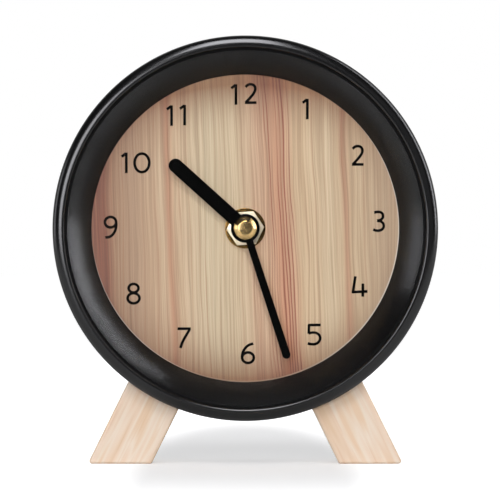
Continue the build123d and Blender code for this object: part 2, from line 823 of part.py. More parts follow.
with BuildPart() as set_knob:
    add_bar(knob_diameter / 2, knob_front, knob_back, set_place)
    fillet(set_knob.edges().group_by(Axis.Y)[-1], radius=knob_edge_radius)
    with BuildSketch(facing(knob_back, set_place)):
        with PolarLocations(knob_diameter / 2, knob_flutes):
            Circle(knob_flute_radius)
    extrude(amount=knob_height, mode=Mode.SUBTRACT)
    add_bar(
        set_shaft_radius + press_gap, knob_front, knob_back - knob_height / 4, set_place, mode=Mode.SUBTRACT
    )
set_knob.part.label = "set_knob"
export_step(set_knob.part, "parts/set_knob.step")

# Going train: rotor, fifth wheel, seconds wheel, third wheel and centre wheel
with BuildPart() as centre_wheel:
    add_wheel(centre_teeth, centre_module, 0, centre_front)
    add_bar(
        centre_seat_radius + running_fit, centre_front, centre_front + wheel_thickness, mode=Mode.SUBTRACT
    )
centre_wheel.part.label = "centre_wheel"
export_step(centre_wheel.part, "parts/centre_wheel.step")

with BuildPart() as third_wheel:
    add_arbor(third_place, shoulder_front, shoulder_back)
    add_wheel(third_teeth, third_module, third_turn, third_front, third_place)
    add_pinion(third_pinion_teeth, centre_module, third_pinion_turn, centre_front, third_place)
third_wheel.part.label = "third_wheel"
export_step(third_wheel.part, "parts/third_wheel.step")

with BuildPart() as seconds_wheel:
    add_bar(arbor_radius, third_front - pinion_overhang, shoulder_back)
    add_bar(pivot_radius, centre_front + end_play, chamber_back + pivot_depth - end_play)
    add_wheel(seconds_teeth, seconds_module, 0, seconds_front)
    add_pinion(seconds_pinion_teeth, third_module, 0, third_front)
seconds_wheel.part.label = "seconds_wheel"
export_step(seconds_wheel.part, "parts/seconds_wheel.step")

with BuildPart() as fifth_wheel:
    add_arbor(fifth_place, shoulder_front, shoulder_back)
    add_wheel(fifth_teeth, fifth_module, 0, fifth_front, fifth_place)
    add_pinion(fifth_pinion_teeth, seconds_module, fifth_pinion_turn, seconds_front, fifth_place)
fifth_wheel.part.label = "fifth_wheel"
export_step(fifth_wheel.part, "parts/fifth_wheel.step")

with BuildPart() as rotor_pinion:
    add_arbor(rotor_place, shoulder_front, shoulder_back)
    add_pinion(rotor_teeth, fifth_module, rotor_turn, fifth_front, rotor_place)
rotor_pinion.part.label = "rotor_pinion"
export_step(rotor_pinion.part, "parts/rotor_pinion.step")

magnet_middle = centre_front + stator_thickness / 2
magnet_front = magnet_middle - magnet_length / 2
magnet_back = magnet_middle + magnet_length / 2
with BuildPart() as rotor_magnet:
    add_bar(magnet_radius, magnet_front, magnet_back, rotor_place)
    add_bar(arbor_radius + press_gap, magnet_front, magnet_back, rotor_place, mode=Mode.SUBTRACT)
rotor_magnet.part.label = "rotor_magnet"
export_step(rotor_magnet.part, "parts/rotor_magnet.step")

# Stepping motor: U-shaped stator round the rotor, closed by the core of the coil
arm_left = rotor_place[0] - arm_reach - stator_arm_width / 2
arm_right = rotor_place[0] + arm_reach + stator_arm_width / 2
arm_high = coil_height + core_height / 2
with BuildPart() as stator:
    add_block(
        arm_left,
        arm_right,
        rotor_place[1] - stator_strip_width / 2,
        rotor_place[1] + stator_strip_width / 2,
        centre_front,
        stator_back,
    )
    add_bar(stator_ring_radius, centre_front, stator_back, rotor_place)
    add_block(arm_left, arm_left + stator_arm_width, rotor_place[1], arm_high, centre_front, stator_back)
    add_block(arm_right - stator_arm_width, arm_right, rotor_place[1], arm_high, centre_front, stator_back)
    add_bar(stator_hole_radius, centre_front, stator_back, rotor_place, mode=Mode.SUBTRACT)
    for place in arm_places:
        add_bar(stator_pin_radius + press_gap, centre_front, stator_back, place, mode=Mode.SUBTRACT)
stator.part.label = "stator"
export_step(stator.part, "parts/stator.step")

core_back = stator_back + core_thickness
with BuildPart() as coil_core:
    core_low = coil_height - core_height / 2
    core_high = coil_height + core_height / 2
    add_block(arm_left, arm_right, core_low, core_high, stator_back, core_back)
    for place in arm_places:
        add_bar(stator_pin_radius + press_gap, stator_back, core_back, place, mode=Mode.SUBTRACT)
coil_core.part.label = "coil_core"
export_step(coil_core.part, "parts/coil_core.step")

coil_start = crosswise(rotor_place[0] - coil_length / 2, coil_height, coil_depth)
winding_start = coil_start.offset(coil_flange)
winding_length = coil_length - 2 * coil_flange
with BuildPart() as coil_bobbin:
    with BuildSketch(coil_start):
        Circle(bobbin_tube_radius)
    extrude(amount=coil_length)
    with BuildSketch(coil_start, coil_start.offset(coil_length - coil_flange)):
        Circle(coil_radius)
    extrude(amount=coil_flange)
    with BuildSketch(coil_start):
        Rectangle(core_thickness + 2 * seat_fit, core_height + 2 * seat_fit)
    extrude(amount=coil_length, mode=Mode.SUBTRACT)
coil_bobbin.part.label = "coil_bobbin"
export_step(coil_bobbin.part, "parts/coil_bobbin.step")

with BuildPart() as coil_winding:
    with BuildSketch(winding_start):
        Circle(coil_radius - coil_flange_rise)
        Circle(bobbin_tube_radius + press_gap, mode=Mode.SUBTRACT)
    extrude(amount=winding_length)
coil_winding.part.label = "coil_winding"
export_step(coil_winding.part, "parts/coil_winding.step")

# Circuit board on two posts of the rear half, with its crystal and its chip
with BuildPart() as circuit_board:
    add_block(board_left, board_right, board_low, board_high, board_front, board_back)
    for place in board_post_places:
        add_bar(board_pin_radius + press_gap, board_front, board_back, place, mode=Mode.SUBTRACT)
circuit_board.part.label = "circuit_board"
export_step(circuit_board.part, "parts/circuit_board.step")

with BuildPart() as quartz_crystal:
    crystal_across = board_right - crystal_inset
    crystal_low = (board_low + board_high) / 2 + board_post_inset
    crystal_plane = Plane(
        (crystal_across, front_y + board_front - crystal_diameter / 2, axis_height + crystal_low)
    )
    with BuildSketch(crystal_plane):
        Circle(crystal_diameter / 2)
    extrude(amount=crystal_length)
quartz_crystal.part.label = "quartz_crystal"
export_step(quartz_crystal.part, "parts/quartz_crystal.step")

with BuildPart() as driver_chip:
    chip_place = (board_middle, (board_low + board_high) / 2 - board_post_inset)
    add_bar(chip_diameter / 2, board_front - chip_height, board_front, chip_place)
    fillet(driver_chip.edges().group_by(Axis.Y)[0], radius=chip_height / 2)
driver_chip.part.label = "driver_chip"
export_step(driver_chip.part, "parts/driver_chip.step")

# Battery cell across the bay, and the two strips that touch its ends
cell_plane = crosswise(-cell_length / 2, cell_height, cell_depth)
cell_body_length = cell_length - cell_nub_length
with BuildPart() as battery_cell:
    with BuildSketch(cell_plane):
        Circle(cell_diameter / 2)
    extrude(amount=cell_body_length)
    fillet(battery_cell.edges().filter_by(GeomType.CIRCLE), radius=cell_edge_radius)
    with BuildSketch(cell_plane.offset(cell_body_length)):
        Circle(cell_nub_diameter / 2)
    extrude(amount=cell_nub_length)
battery_cell.part.label = "battery_cell"
export_step(battery_cell.part, "parts/battery_cell.step")

foot_low = board_low + contact_foot_height / 2
foot_high = foot_low + contact_foot_height
strip_back = board_back + contact_thickness
contact_inside = chamber_half_width - contact_thickness
for side, contact_name in ((-1, "negative_contact"), (1, "positive_contact")):
    with BuildPart() as contact:
        leaf_ends = sorted((side * contact_inside, side * chamber_half_width))
        leaf_low = cell_height - contact_height / 2
        leaf_high = cell_height + contact_height / 2
        add_block(
            *leaf_ends, leaf_low, leaf_high, cell_depth - contact_width / 2, cell_depth + contact_width / 2
        )
        with BuildSketch(crosswise(side * contact_inside, cell_height, cell_depth)):
            Circle(contact_bump_radius)
        extrude(amount=-side * contact_bump)
        add_block(*leaf_ends, leaf_high, foot_high, contact_neck_front, strip_back)
        if side > 0:
            foot_left = contact_inside - contact_foot_length
            add_block(foot_left, contact_inside, foot_low, foot_high, board_back, strip_back)
        else:
            strip_right = board_left + contact_foot_length
            strip_high = chamber_low + contact_thickness
            add_block(-contact_inside, strip_right, chamber_low, strip_high, contact_neck_front, strip_back)
            add_block(board_left, strip_right, chamber_low, foot_high, board_back, strip_back)
    contact.part.label = contact_name
    export_step(contact.part, f"parts/{contact_name}.step")
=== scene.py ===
# %% [markdown]
# # A round desk clock on two pine legs
# This lesson dresses a desk clock that was first made as solids. The solids are the frame: they fix every
# size and every joint, and nothing here moves them. Blender adds what the eye needs, which is finish, fine
# edges, printed numbers and light. Work through the cells from the top, and read what each one prints.

# %% Load the frame
import math

import bmesh
import bpy
from mathutils import Matrix, Vector


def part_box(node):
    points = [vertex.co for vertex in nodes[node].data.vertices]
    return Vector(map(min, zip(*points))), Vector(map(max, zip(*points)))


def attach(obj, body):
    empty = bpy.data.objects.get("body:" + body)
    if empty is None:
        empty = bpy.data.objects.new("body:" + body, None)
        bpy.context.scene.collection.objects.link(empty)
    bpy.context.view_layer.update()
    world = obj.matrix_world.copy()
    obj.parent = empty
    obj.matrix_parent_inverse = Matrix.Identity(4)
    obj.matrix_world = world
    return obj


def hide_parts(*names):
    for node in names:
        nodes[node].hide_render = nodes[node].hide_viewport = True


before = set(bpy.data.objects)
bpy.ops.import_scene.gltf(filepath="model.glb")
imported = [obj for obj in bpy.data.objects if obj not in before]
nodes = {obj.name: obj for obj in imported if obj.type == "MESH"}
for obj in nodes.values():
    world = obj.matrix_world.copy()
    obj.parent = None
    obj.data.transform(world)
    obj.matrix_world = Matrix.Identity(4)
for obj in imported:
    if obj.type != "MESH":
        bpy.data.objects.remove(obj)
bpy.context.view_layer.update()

# %% [markdown]
# ## Where things are
# Blender works in metres, and a clock is easier to think of in millimetres. Two facts are read from the
# solids and used all through: the height of the dial's middle, and the place of the front of the lip. A
# depth is then counted back from the lip, in millimetres, just as a maker would measure with a depth gauge.

# %% Landmarks read from the solids
MM = 0.001
case_low, case_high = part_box("case_shell")
dial_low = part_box("dial_plate")[0]
lip_radius = (case_high.x - case_low.x) / 2 / MM
axis_height = (case_high.z + case_low.z) / 2
front_y = case_low.y
case_depth = (case_high.y - case_low.y) / MM
dial_front = (dial_low.y - front_y) / MM
print(f"lip radius {lip_radius:.1f} mm, axis {axis_height / MM:.1f} mm up,",
      f"dial {dial_front:.1f} mm behind the lip")


def stand_up(mesh, depth=0.0, from_behind=False):
    """Moves a mesh drawn flat, with x right and y up, to the clock's axis at a depth in millimetres."""
    turn = Matrix.Rotation(math.pi / 2, 4, "X")
    if from_behind:
        turn = Matrix.Rotation(math.pi, 4, "Z") @ turn
    mesh.transform(Matrix.Translation((0, front_y + depth * MM, axis_height)) @ turn)


# %% [markdown]
# ## Colours and nodes
# Screens and photographs give colours as sRGB hex values, while a shader works with linear light, so one
# function turns the first into the second. A second function adds any node at all: it sets the node's
# options, then fills each input with a number or with a link from another node. Everything below is built
# from these two.

# %% Two helpers for every node tree
def linear(hex_colour):
    """Linear RGBA of an sRGB hex colour."""
    parts = [int(hex_colour[i:i + 2], 16) / 255 for i in (1, 3, 5)]
    return [p / 12.92 if p <= 0.04045 else ((p + 0.055) / 1.055) ** 2.4 for p in parts] + [1.0]


def add(tree, kind, inputs=None, stops=None, **options):
    """Adds a node, sets its options, and fills its inputs with values, sockets or nodes' first outputs."""
    made = tree.nodes.new(kind)
    for name, value in options.items():
        setattr(made, name, value)
    for key, value in (inputs or {}).items():
        if isinstance(value, bpy.types.Node):
            value = value.outputs[0]
        if isinstance(value, bpy.types.NodeSocket):
            tree.links.new(value, made.inputs[key])
        else:
            made.inputs[key].default_value = value
    for index, (place, colour) in enumerate(stops or []):
        ramp = made.color_ramp.elements
        stop = ramp[index] if index < min(2, len(stops)) else ramp.new(place)
        stop.position = place
        stop.color = linear(colour)
    return made


def new_finish(name):
    """Empty material with its output, and its place in millimetres from the dial's middle."""
    finish = bpy.data.materials.new(name)
    finish.use_nodes = True
    tree = finish.node_tree
    tree.nodes.clear()
    out = add(tree, "ShaderNodeOutputMaterial")
    here = add(tree, "ShaderNodeTexCoord").outputs["Object"]
    to_mm = {"Vector": here, "Location": (0, 0, -axis_height / MM), "Scale": (1 / MM,) * 3}
    return finish, tree, out, add(tree, "ShaderNodeMapping", to_mm)


print("black as written:", [round(c, 4) for c in linear("#141416")[:3]])

# %% [markdown]
# ## Moulded plastic
# Most of the clock is injection-moulded ABS: the glossy case, the satin bezel, and the grained parts of the
# back. A mould leaves three things that the eye reads as plastic. The shade drifts very slightly across the
# piece, the gloss is a little uneven, and the skin has a fine grit from the tool. One function gives all
# three, and each piece sets its own shade, roughness and grit.

# %% Moulded plastics
shade_drift = 22.0


def moulded(name, dark, light, roughness, grit, grit_height, shine=0.5):
    """ABS whose shade drifts over the piece and whose skin has a grit of a given size in millimetres."""
    finish, tree, out, mm = new_finish(name)
    drift = add(tree, "ShaderNodeTexNoise",
                {"Vector": mm, "Scale": 1 / shade_drift, "Detail": 3.0, "Roughness": 0.6})
    shade = add(tree, "ShaderNodeValToRGB", {"Fac": drift}, stops=[(0.3, dark), (0.7, light)])
    skin = add(tree, "ShaderNodeTexNoise", {"Vector": mm, "Scale": 1 / grit, "Detail": 2.0})
    gloss = add(tree, "ShaderNodeMapRange",
                {"Value": drift, "To Min": roughness * 0.9, "To Max": roughness * 1.1})
    bump = add(tree, "ShaderNodeBump", {"Height": skin, "Distance": grit_height * MM, "Strength": 1.0})
    values = {"Base Color": shade, "Roughness": gloss, "Normal": bump, "Specular IOR Level": shine}
    tree.links.new(add(tree, "ShaderNodeBsdfPrincipled", values).outputs[0], out.inputs["Surface"])
    return finish


# The grits are drawn three or four times coarser than a real mould's, because the real ones are too fine to
# show.
gloss_abs = moulded("moulded_abs_gloss_black", "#0b0b0c", "#0e0e0f", 0.2, 1.6, 0.0006, 0.4)
satin_abs = moulded("moulded_abs_satin_black", "#0c0c0d", "#0f0f10", 0.22, 0.7, 0.0004, 0.36)
cover_abs = moulded("moulded_abs_grained_black", "#161617", "#1c1c1d", 0.5, 0.45, 0.02)
movement_abs = moulded("moulded_abs_movement_black", "#131314", "#18181a", 0.42, 0.4, 0.012)
knob_abs = moulded("moulded_abs_knob_black", "#18181a", "#1e1e20", 0.36, 0.4, 0.006)
acetal = moulded("moulded_acetal_white", "#dcdad2", "#e6e4dd", 0.38, 0.5, 0.004)
rubber = moulded("moulded_rubber_black", "#1a1a1a", "#222222", 0.75, 0.3, 0.02)
soft_pvc = moulded("moulded_soft_pvc_black", "#040404", "#060606", 0.6, 0.4, 0.004, 0.06)
ferrite = moulded("bonded_ferrite_grey", "#3c3c3f", "#47474a", 0.55, 0.2, 0.006)
epoxy = moulded("epoxy_drop_black", "#0c0c0d", "#121213", 0.18, 0.9, 0.002)
solder_mask = moulded("solder_mask_green", "#0d4a26", "#125a30", 0.32, 0.6, 0.004)
print("plastics:", [m.name for m in bpy.data.materials if m.name.startswith("moulded")])

# %% [markdown]
# ## Metals and paint
# The hand stack is turned brass, polished on the cap and left plainer on the nut and washer. Screws are
# zinc plated, the battery contacts nickel plated, and the motor's plates are stamped steel. A metal needs
# little more than its colour and its polish, so one function varies the polish along fine turning marks.
# The hands are sheet steel with a satin black paint, which is plastic to the eye and not metal at all.

# %% Metals
def metal(name, dark, light, roughness, mark_width, stretch=(1, 1, 1)):
    """Metal whose polish and tint vary along marks of a given width in millimetres."""
    finish, tree, out, mm = new_finish(name)
    along = add(tree, "ShaderNodeMapping", {"Vector": mm, "Scale": [s / mark_width for s in stretch]})
    marks = add(tree, "ShaderNodeTexNoise", {"Vector": along, "Scale": 1.0, "Detail": 3.0})
    tint = add(tree, "ShaderNodeValToRGB", {"Fac": marks}, stops=[(0.35, dark), (0.65, light)])
    polish = add(tree, "ShaderNodeMapRange",
                 {"Value": marks, "To Min": roughness * 0.75, "To Max": roughness * 1.25})
    values = {"Base Color": tint, "Roughness": polish, "Metallic": 1.0}
    tree.links.new(add(tree, "ShaderNodeBsdfPrincipled", values).outputs[0], out.inputs["Surface"])
    return finish


cap_brass = metal("turned_brass_polished", "#dcb878", "#e6c68a", 0.2, 0.6)
nut_brass = metal("turned_brass_plain", "#e2d4b6", "#eadec6", 0.45, 0.5, (1, 1, 0.2))
washer_brass = metal("stamped_brass_dull", "#73562a", "#846636", 0.24, 0.5)
zinc = metal("zinc_plated_steel", "#b9bcc0", "#cdd0d3", 0.28, 0.4)
nickel = metal("nickel_plated_steel", "#c2bdb3", "#d2cdc4", 0.26, 0.5)
motor_steel = metal("stamped_steel", "#a3a5a8", "#b5b7ba", 0.4, 0.5, (0.15, 1, 1))
copper_wire = metal("enamelled_copper_wire", "#9c4a22", "#c0693a", 0.32, 0.18, (1, 0.05, 0.05))
hand_paint = moulded("satin_black_paint_on_steel", "#040404", "#060606", 0.12, 0.35, 0.0001, 0.25)
print("metals:", [m.name for m in bpy.data.materials if m.node_tree and "brass" in m.name])

# %% [markdown]
# ## The dial's wood face
# The face is a sheet of knot-free softwood with upright grain, and it is what one looks at most. Seen
# closely it has four layers. Broad planks of tone run from tan at the left edge to pale straw in the middle,
# and the darkening towards the left edge is partly the wood's own tone and partly painted shade from the
# bezel.
# A few bands of red heartwood cross it, the widest right of the middle and leaning as it goes down. Growth
# rings run all over, and each darkens slowly and then stops at a crisp edge, like the teeth of a saw. Last,
# closer and redder rings gather inside the bands. The sideways place is bent by a slow noise before any
# layer reads it, so no line is perfectly straight.

# %% Wood face of the dial
wood_face, tree, out, mm = new_finish("softwood_veneer_upright_grain")
slow = add(tree, "ShaderNodeMapping", {"Vector": mm, "Scale": (1 / 9.0, 0.0, 1 / 45.0)})
bend = add(tree, "ShaderNodeTexNoise", {"Vector": slow, "Scale": 1.0, "Detail": 2.0, "Roughness": 0.4})
place = add(tree, "ShaderNodeSeparateXYZ", {"Vector": mm})
across, up = place.outputs["X"], place.outputs["Z"]
swing = add(tree, "ShaderNodeMapRange", {"Value": bend, "To Min": -1.5, "To Max": 1.5})
bent = add(tree, "ShaderNodeMath", {0: across, 1: swing}, operation="ADD")
# A feature that stays at one reading of "leaning" moves right as it goes down, by 3 mm or 6.6 mm in 100 mm.
leaning = add(tree, "ShaderNodeMath", {0: up, 1: 0.03, 2: bent}, operation="MULTIPLY_ADD")
band_lean = add(tree, "ShaderNodeMath", {0: up, 1: 0.066, 2: bent}, operation="MULTIPLY_ADD")
half_face = 46.0
share = add(tree, "ShaderNodeMapRange", {"Value": leaning, "From Min": -half_face, "From Max": half_face})
# Towards the left edge the tones darken, partly as the wood's own tone and partly as painted shade from the
# bezel.
tones_with_left_shade = [(-46, "#5f2a16"), (-41.5, "#68361e"), (-39.5, "#a98769"), (-33, "#b4967a"), (-29, "#c3a687"),
         (-23.8, "#d0b697"), (-22.2, "#be8e6e"), (-20.6, "#d2b797"), (-11, "#d9caab"), (-2, "#d4c0a0"),
         (4, "#d2b395"), (18, "#d6bd9a"), (25, "#d9c5a5"), (28.8, "#d1b998"), (30.3, "#bd9172"),
         (32, "#ceb695"), (42, "#bea689")]
tone = add(tree, "ShaderNodeValToRGB", {"Fac": share},
           stops=[((x + half_face) / (2 * half_face), c) for x, c in tones_with_left_shade])

# %% Heartwood band and growth rings
band_share = add(tree, "ShaderNodeMapRange", {"Value": band_lean, "From Min": 0.0, "From Max": 18.0})
band = add(tree, "ShaderNodeValToRGB", {"Fac": band_share},
           stops=[(0.0, "#000000"), (0.14, "#505050"), (0.26, "#404040"), (0.42, "#a0a0a0"), (0.6, "#ffffff"),
                  (0.76, "#c0c0c0"), (0.92, "#000000")])
low_down = add(tree, "ShaderNodeMapRange",
               {"Value": up, "From Min": 45.0, "From Max": -45.0, "To Min": 0.55, "To Max": 1.0})
band_depth = add(tree, "ShaderNodeMath", {0: band, 1: low_down}, operation="MULTIPLY")
edge_band = add(tree, "ShaderNodeMapRange",
                {"Value": leaning, "From Min": -38.5, "From Max": -42.5, "To Max": 0.22})
red_depth = add(tree, "ShaderNodeMath", {0: band_depth, 1: edge_band}, operation="MAXIMUM")


def rings(sideways, spacing, wander, start, seed):
    """Depth of growth rings a spacing apart in millimetres; each fades in from a share and ends crisply."""
    ring_place = add(tree, "ShaderNodeCombineXYZ", {"X": sideways, "Z": up})
    trail = add(tree, "ShaderNodeMapping",
                {"Vector": ring_place, "Scale": (1 / 6.0, 1.0, 1 / 75.0), "Location": (seed, 0, 0)})
    waver = add(tree, "ShaderNodeTexNoise", {"Vector": trail, "Scale": 1.0, "Detail": 2.0, "Roughness": 0.45})
    drift = add(tree, "ShaderNodeMath", {0: waver, 1: wander}, operation="MULTIPLY")
    phase = add(tree, "ShaderNodeMath", {0: sideways, 1: 1 / spacing, 2: drift}, operation="MULTIPLY_ADD")
    number = add(tree, "ShaderNodeMath", {0: phase}, operation="FLOOR")
    strength = add(tree, "ShaderNodeTexWhiteNoise", {"W": number}, noise_dimensions="1D")
    along = add(tree, "ShaderNodeCombineXYZ", {"X": number, "Z": up})
    length = add(tree, "ShaderNodeMapping", {"Vector": along, "Scale": (3.7, 1.0, 1 / 50.0)})
    fade = add(tree, "ShaderNodeTexNoise", {"Vector": length, "Scale": 1.0, "Detail": 1.0})
    shown = add(tree, "ShaderNodeMapRange", {"Value": fade, "From Min": 0.3, "From Max": 0.6})
    tooth = add(tree, "ShaderNodeMath", {0: phase}, operation="FRACT")
    edge = add(tree, "ShaderNodeMapRange", {"Value": tooth, "From Min": start, "From Max": 0.95},
               interpolation_type="SMOOTHSTEP")
    depth = add(tree, "ShaderNodeMath", {0: edge, 1: strength}, operation="MULTIPLY")
    return add(tree, "ShaderNodeMath", {0: depth, 1: shown}, operation="MULTIPLY")


plain_rings = rings(leaning, spacing=1.45, wander=2.4, start=0.5, seed=0.0)
close_rings = rings(band_lean, spacing=0.88, wander=2.6, start=0.45, seed=4.0)
grain_place = add(tree, "ShaderNodeCombineXYZ", {"X": leaning, "Z": up})
streak = add(tree, "ShaderNodeMapping", {"Vector": grain_place, "Scale": (1 / 1.1, 1.0, 1 / 120.0)})
fibre = add(tree, "ShaderNodeMapping", {"Vector": grain_place, "Scale": (1 / 0.34, 1.0, 1 / 45.0)})
streaks = add(tree, "ShaderNodeTexNoise", {"Vector": streak, "Scale": 1.0, "Detail": 2.0, "Roughness": 0.55})
fine_lines = add(tree, "ShaderNodeTexNoise", {"Vector": fibre, "Scale": 1.0, "Detail": 2.0, "Roughness": 0.6})

# %% Colours of the layers, and painted light and shade at the edge
# A Mix node takes its colours at sockets 6 and 7, and gives the result at output 2.
as_blend = {"data_type": "RGBA"}
as_product = {"data_type": "RGBA", "blend_type": "MULTIPLY"}
reddened = add(tree, "ShaderNodeMix", {0: red_depth, 6: tone.outputs[0], 7: linear("#cd8f6d")}, **as_blend)
pale = add(tree, "ShaderNodeValToRGB", {"Fac": streaks},
           stops=[(0.34, "#d6c8bc"), (0.5, "#f6efe8"), (0.66, "#fffdf8")])
streaked = add(tree, "ShaderNodeMix", {0: 0.75, 6: reddened.outputs[2], 7: pale}, **as_product)
hair = add(tree, "ShaderNodeValToRGB", {"Fac": fine_lines}, stops=[(0.36, "#d8cdc4"), (0.56, "#ffffff")])
haired = add(tree, "ShaderNodeMix", {0: 0.6, 6: streaked.outputs[2], 7: hair}, **as_product)
quieter = add(tree, "ShaderNodeMapRange", {"Value": across, "To Min": 0.66, "To Max": 0.42, "From Max": 25.0})
plain_depth = add(tree, "ShaderNodeMath", {0: plain_rings, 1: quieter}, operation="MULTIPLY")
grained = add(tree, "ShaderNodeMix", {0: plain_depth, 6: haired.outputs[2], 7: linear("#a57555")}, **as_blend)
red_seen = add(tree, "ShaderNodeMapRange", {"Value": red_depth, "From Max": 0.5, "To Max": 3.0})
close_depth = add(tree, "ShaderNodeMath", {0: close_rings, 1: red_seen}, operation="MULTIPLY", use_clamp=True)
lined = add(tree, "ShaderNodeMix", {0: close_depth, 6: grained.outputs[2], 7: linear("#8e4f36")}, **as_blend)
# Painted highlight: the pale line where the edge catches the light is a pale margin of the print, set a
# quarter of a millimetre high and left so that it shows only low and right.
off_middle = add(tree, "ShaderNodeVectorMath", {0: mm, 1: (0.12, 0, -0.22)}, operation="ADD")
flat_place = add(tree, "ShaderNodeVectorMath", {0: off_middle, 1: (1, 0, 1)}, operation="MULTIPLY")
reach = add(tree, "ShaderNodeVectorMath", {0: flat_place}, operation="LENGTH")
painted_edge_highlight = add(tree, "ShaderNodeMapRange",
             {"Value": reach.outputs["Value"], "From Min": 45.84, "From Max": 45.9})
face = add(tree, "ShaderNodeMix", {0: painted_edge_highlight, 6: lined.outputs[2], 7: linear("#d8cfc2")}, **as_blend)
# Painted shade: the face darkens to brown towards its edge, most at the top and the bottom, as if shaded by
# the bezel's recess.
oval = add(tree, "ShaderNodeVectorMath", {0: mm, 1: (-1.0, 0, 1.0)}, operation="ADD")
oval = add(tree, "ShaderNodeVectorMath", {0: oval, 1: (0.8, 0, 1.09)}, operation="MULTIPLY")
oval = add(tree, "ShaderNodeVectorMath", {0: oval}, operation="LENGTH").outputs["Value"]
outward = add(tree, "ShaderNodeMapRange", {"Value": oval, "From Min": 28.0, "From Max": 48.0})
painted_edge_shade = add(tree, "ShaderNodeMath", {0: outward, 1: 2.1}, operation="POWER")
painted_edge_shade = add(tree, "ShaderNodeMath", {0: painted_edge_shade, 1: 0.84}, operation="MULTIPLY")
face = add(tree, "ShaderNodeMix", {0: painted_edge_shade, 6: face.outputs[2], 7: linear("#97652a")}, **as_product)
pores = add(tree, "ShaderNodeBump", {"Height": fine_lines, "Distance": 0.02 * MM, "Strength": 0.5})
look = add(tree, "ShaderNodeBsdfPrincipled",
           {"Base Color": face.outputs[2], "Roughness": 0.55, "Normal": pores})
tree.links.new(look.outputs[0], out.inputs["Surface"])
print("dial face:", len(tree.nodes), "nodes")

# %% [markdown]
# ## Pine for the legs
# The legs are sanded blocks of pale pine with the grain running down each leg. They lean in opposite
# directions, so the pattern is turned with a Mapping node, once for each leg, and moved so that the two
# don't look like mirror twins. Pine shows soft bands a few millimetres wide, and thin growth lines between.

# %% Pine, one finish for each leg
leg_lean = math.radians(26.3)


def pine(name, lean, shift):
    """Pine whose grain leans by an angle, and whose pattern is moved sideways by millimetres."""
    finish, tree, out, mm = new_finish(name)
    down_leg = add(tree, "ShaderNodeMapping",
                   {"Vector": mm, "Rotation": (0, lean, 0), "Location": (shift, 0, 0)})
    soft = add(tree, "ShaderNodeMapping", {"Vector": down_leg, "Scale": (1 / 3.4, 1 / 5.0, 1 / 40.0)})
    thin = add(tree, "ShaderNodeMapping", {"Vector": down_leg, "Scale": (1 / 0.8, 1 / 1.2, 1 / 25.0)})
    bands = add(tree, "ShaderNodeTexNoise", {"Vector": soft, "Scale": 1.0, "Detail": 2.0})
    lines = add(tree, "ShaderNodeTexNoise", {"Vector": thin, "Scale": 1.0, "Detail": 3.0})
    tone = add(tree, "ShaderNodeValToRGB", {"Fac": bands},
               stops=[(0.32, "#d7b99b"), (0.46, "#dec5ae"), (0.58, "#e1d0be"), (0.7, "#dcbfa2")])
    depth = add(tree, "ShaderNodeMapRange",
                {"Value": lines, "From Min": 0.46, "From Max": 0.3, "To Max": 0.35})
    lined = add(tree, "ShaderNodeMix", {0: depth, 6: tone.outputs[0], 7: linear("#cfa57e")}, **as_blend)
    pores = add(tree, "ShaderNodeBump", {"Height": lines, "Distance": 0.03 * MM, "Strength": 0.5})
    values = {"Base Color": lined.outputs[2], "Roughness": 0.6, "Normal": pores}
    tree.links.new(add(tree, "ShaderNodeBsdfPrincipled", values).outputs[0], out.inputs["Surface"])
    return finish


pine_left = pine("sanded_pine_left", -leg_lean, 3.0)
pine_right = pine("sanded_pine_right", leg_lean, 41.0)
print("pine:", pine_left.name, pine_right.name)

# %% [markdown]
# ## Clear acrylic and the cell's sleeve
# The lens is clear cast acrylic, so the shader is fully transmissive with an index of 1.49. Light that only
# passes through on its way to the dial shouldn't be darkened, so shadow rays see it as plain transparent. The
# rays that the dial and the bezel send out to gather light pass the same way, or lamps would count twice.
# The cell is an ordinary AA cell in a plain dark sleeve with a pale band at its positive end, and the band
# is placed by the sideways coordinate.

# %% Acrylic and sleeve
acrylic, tree, out, mm = new_finish("cast_acrylic_clear")
values = {"Base Color": linear("#fdfefe"), "Roughness": 0.0, "IOR": 1.49, "Transmission Weight": 1.0}
clear = add(tree, "ShaderNodeBsdfPrincipled", values)
passing = add(tree, "ShaderNodeBsdfTransparent")
path = add(tree, "ShaderNodeLightPath").outputs
through = add(tree, "ShaderNodeMath", {0: path["Is Shadow Ray"], 1: path["Is Glossy Ray"]},
              operation="MAXIMUM")
through = add(tree, "ShaderNodeMath", {0: through, 1: path["Is Diffuse Ray"]}, operation="MAXIMUM")
mixed = add(tree, "ShaderNodeMixShader", {0: through, 1: clear, 2: passing})
tree.links.new(mixed.outputs[0], out.inputs["Surface"])

sleeve, tree, out, mm = new_finish("printed_cell_sleeve")
cell_low, cell_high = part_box("battery_cell")
along = add(tree, "ShaderNodeSeparateXYZ", {"Vector": mm}).outputs["X"]
sleeve_share = add(tree, "ShaderNodeMapRange",
                   {"Value": along, "From Min": cell_low.x / MM, "From Max": cell_high.x / MM})
paint = add(tree, "ShaderNodeValToRGB", {"Fac": sleeve_share},
            stops=[(0.0, "#b4b6b8"), (0.02, "#2b3138"), (0.72, "#2f363e"), (0.725, "#b9bcbd"),
                   (0.76, "#c0c3c4"), (0.765, "#2b3138"), (0.955, "#2b3138"), (0.96, "#c6c8c9")])
scuff = add(tree, "ShaderNodeTexNoise", {"Vector": mm, "Scale": 1 / 3.0, "Detail": 4.0})
gloss = add(tree, "ShaderNodeMapRange", {"Value": scuff, "To Min": 0.24, "To Max": 0.4})
look = add(tree, "ShaderNodeBsdfPrincipled", {"Base Color": paint, "Roughness": gloss, "Metallic": 0.4})
tree.links.new(look.outputs[0], out.inputs["Surface"])
print("clear and printed finishes:", acrylic.name, sleeve.name)

# %% [markdown]
# ## A finish for every solid
# Each solid that stays in view, and each one that hides inside the movement, gets its own finish by name.
# The solids' meshes aren't touched: only the material in their slot changes.

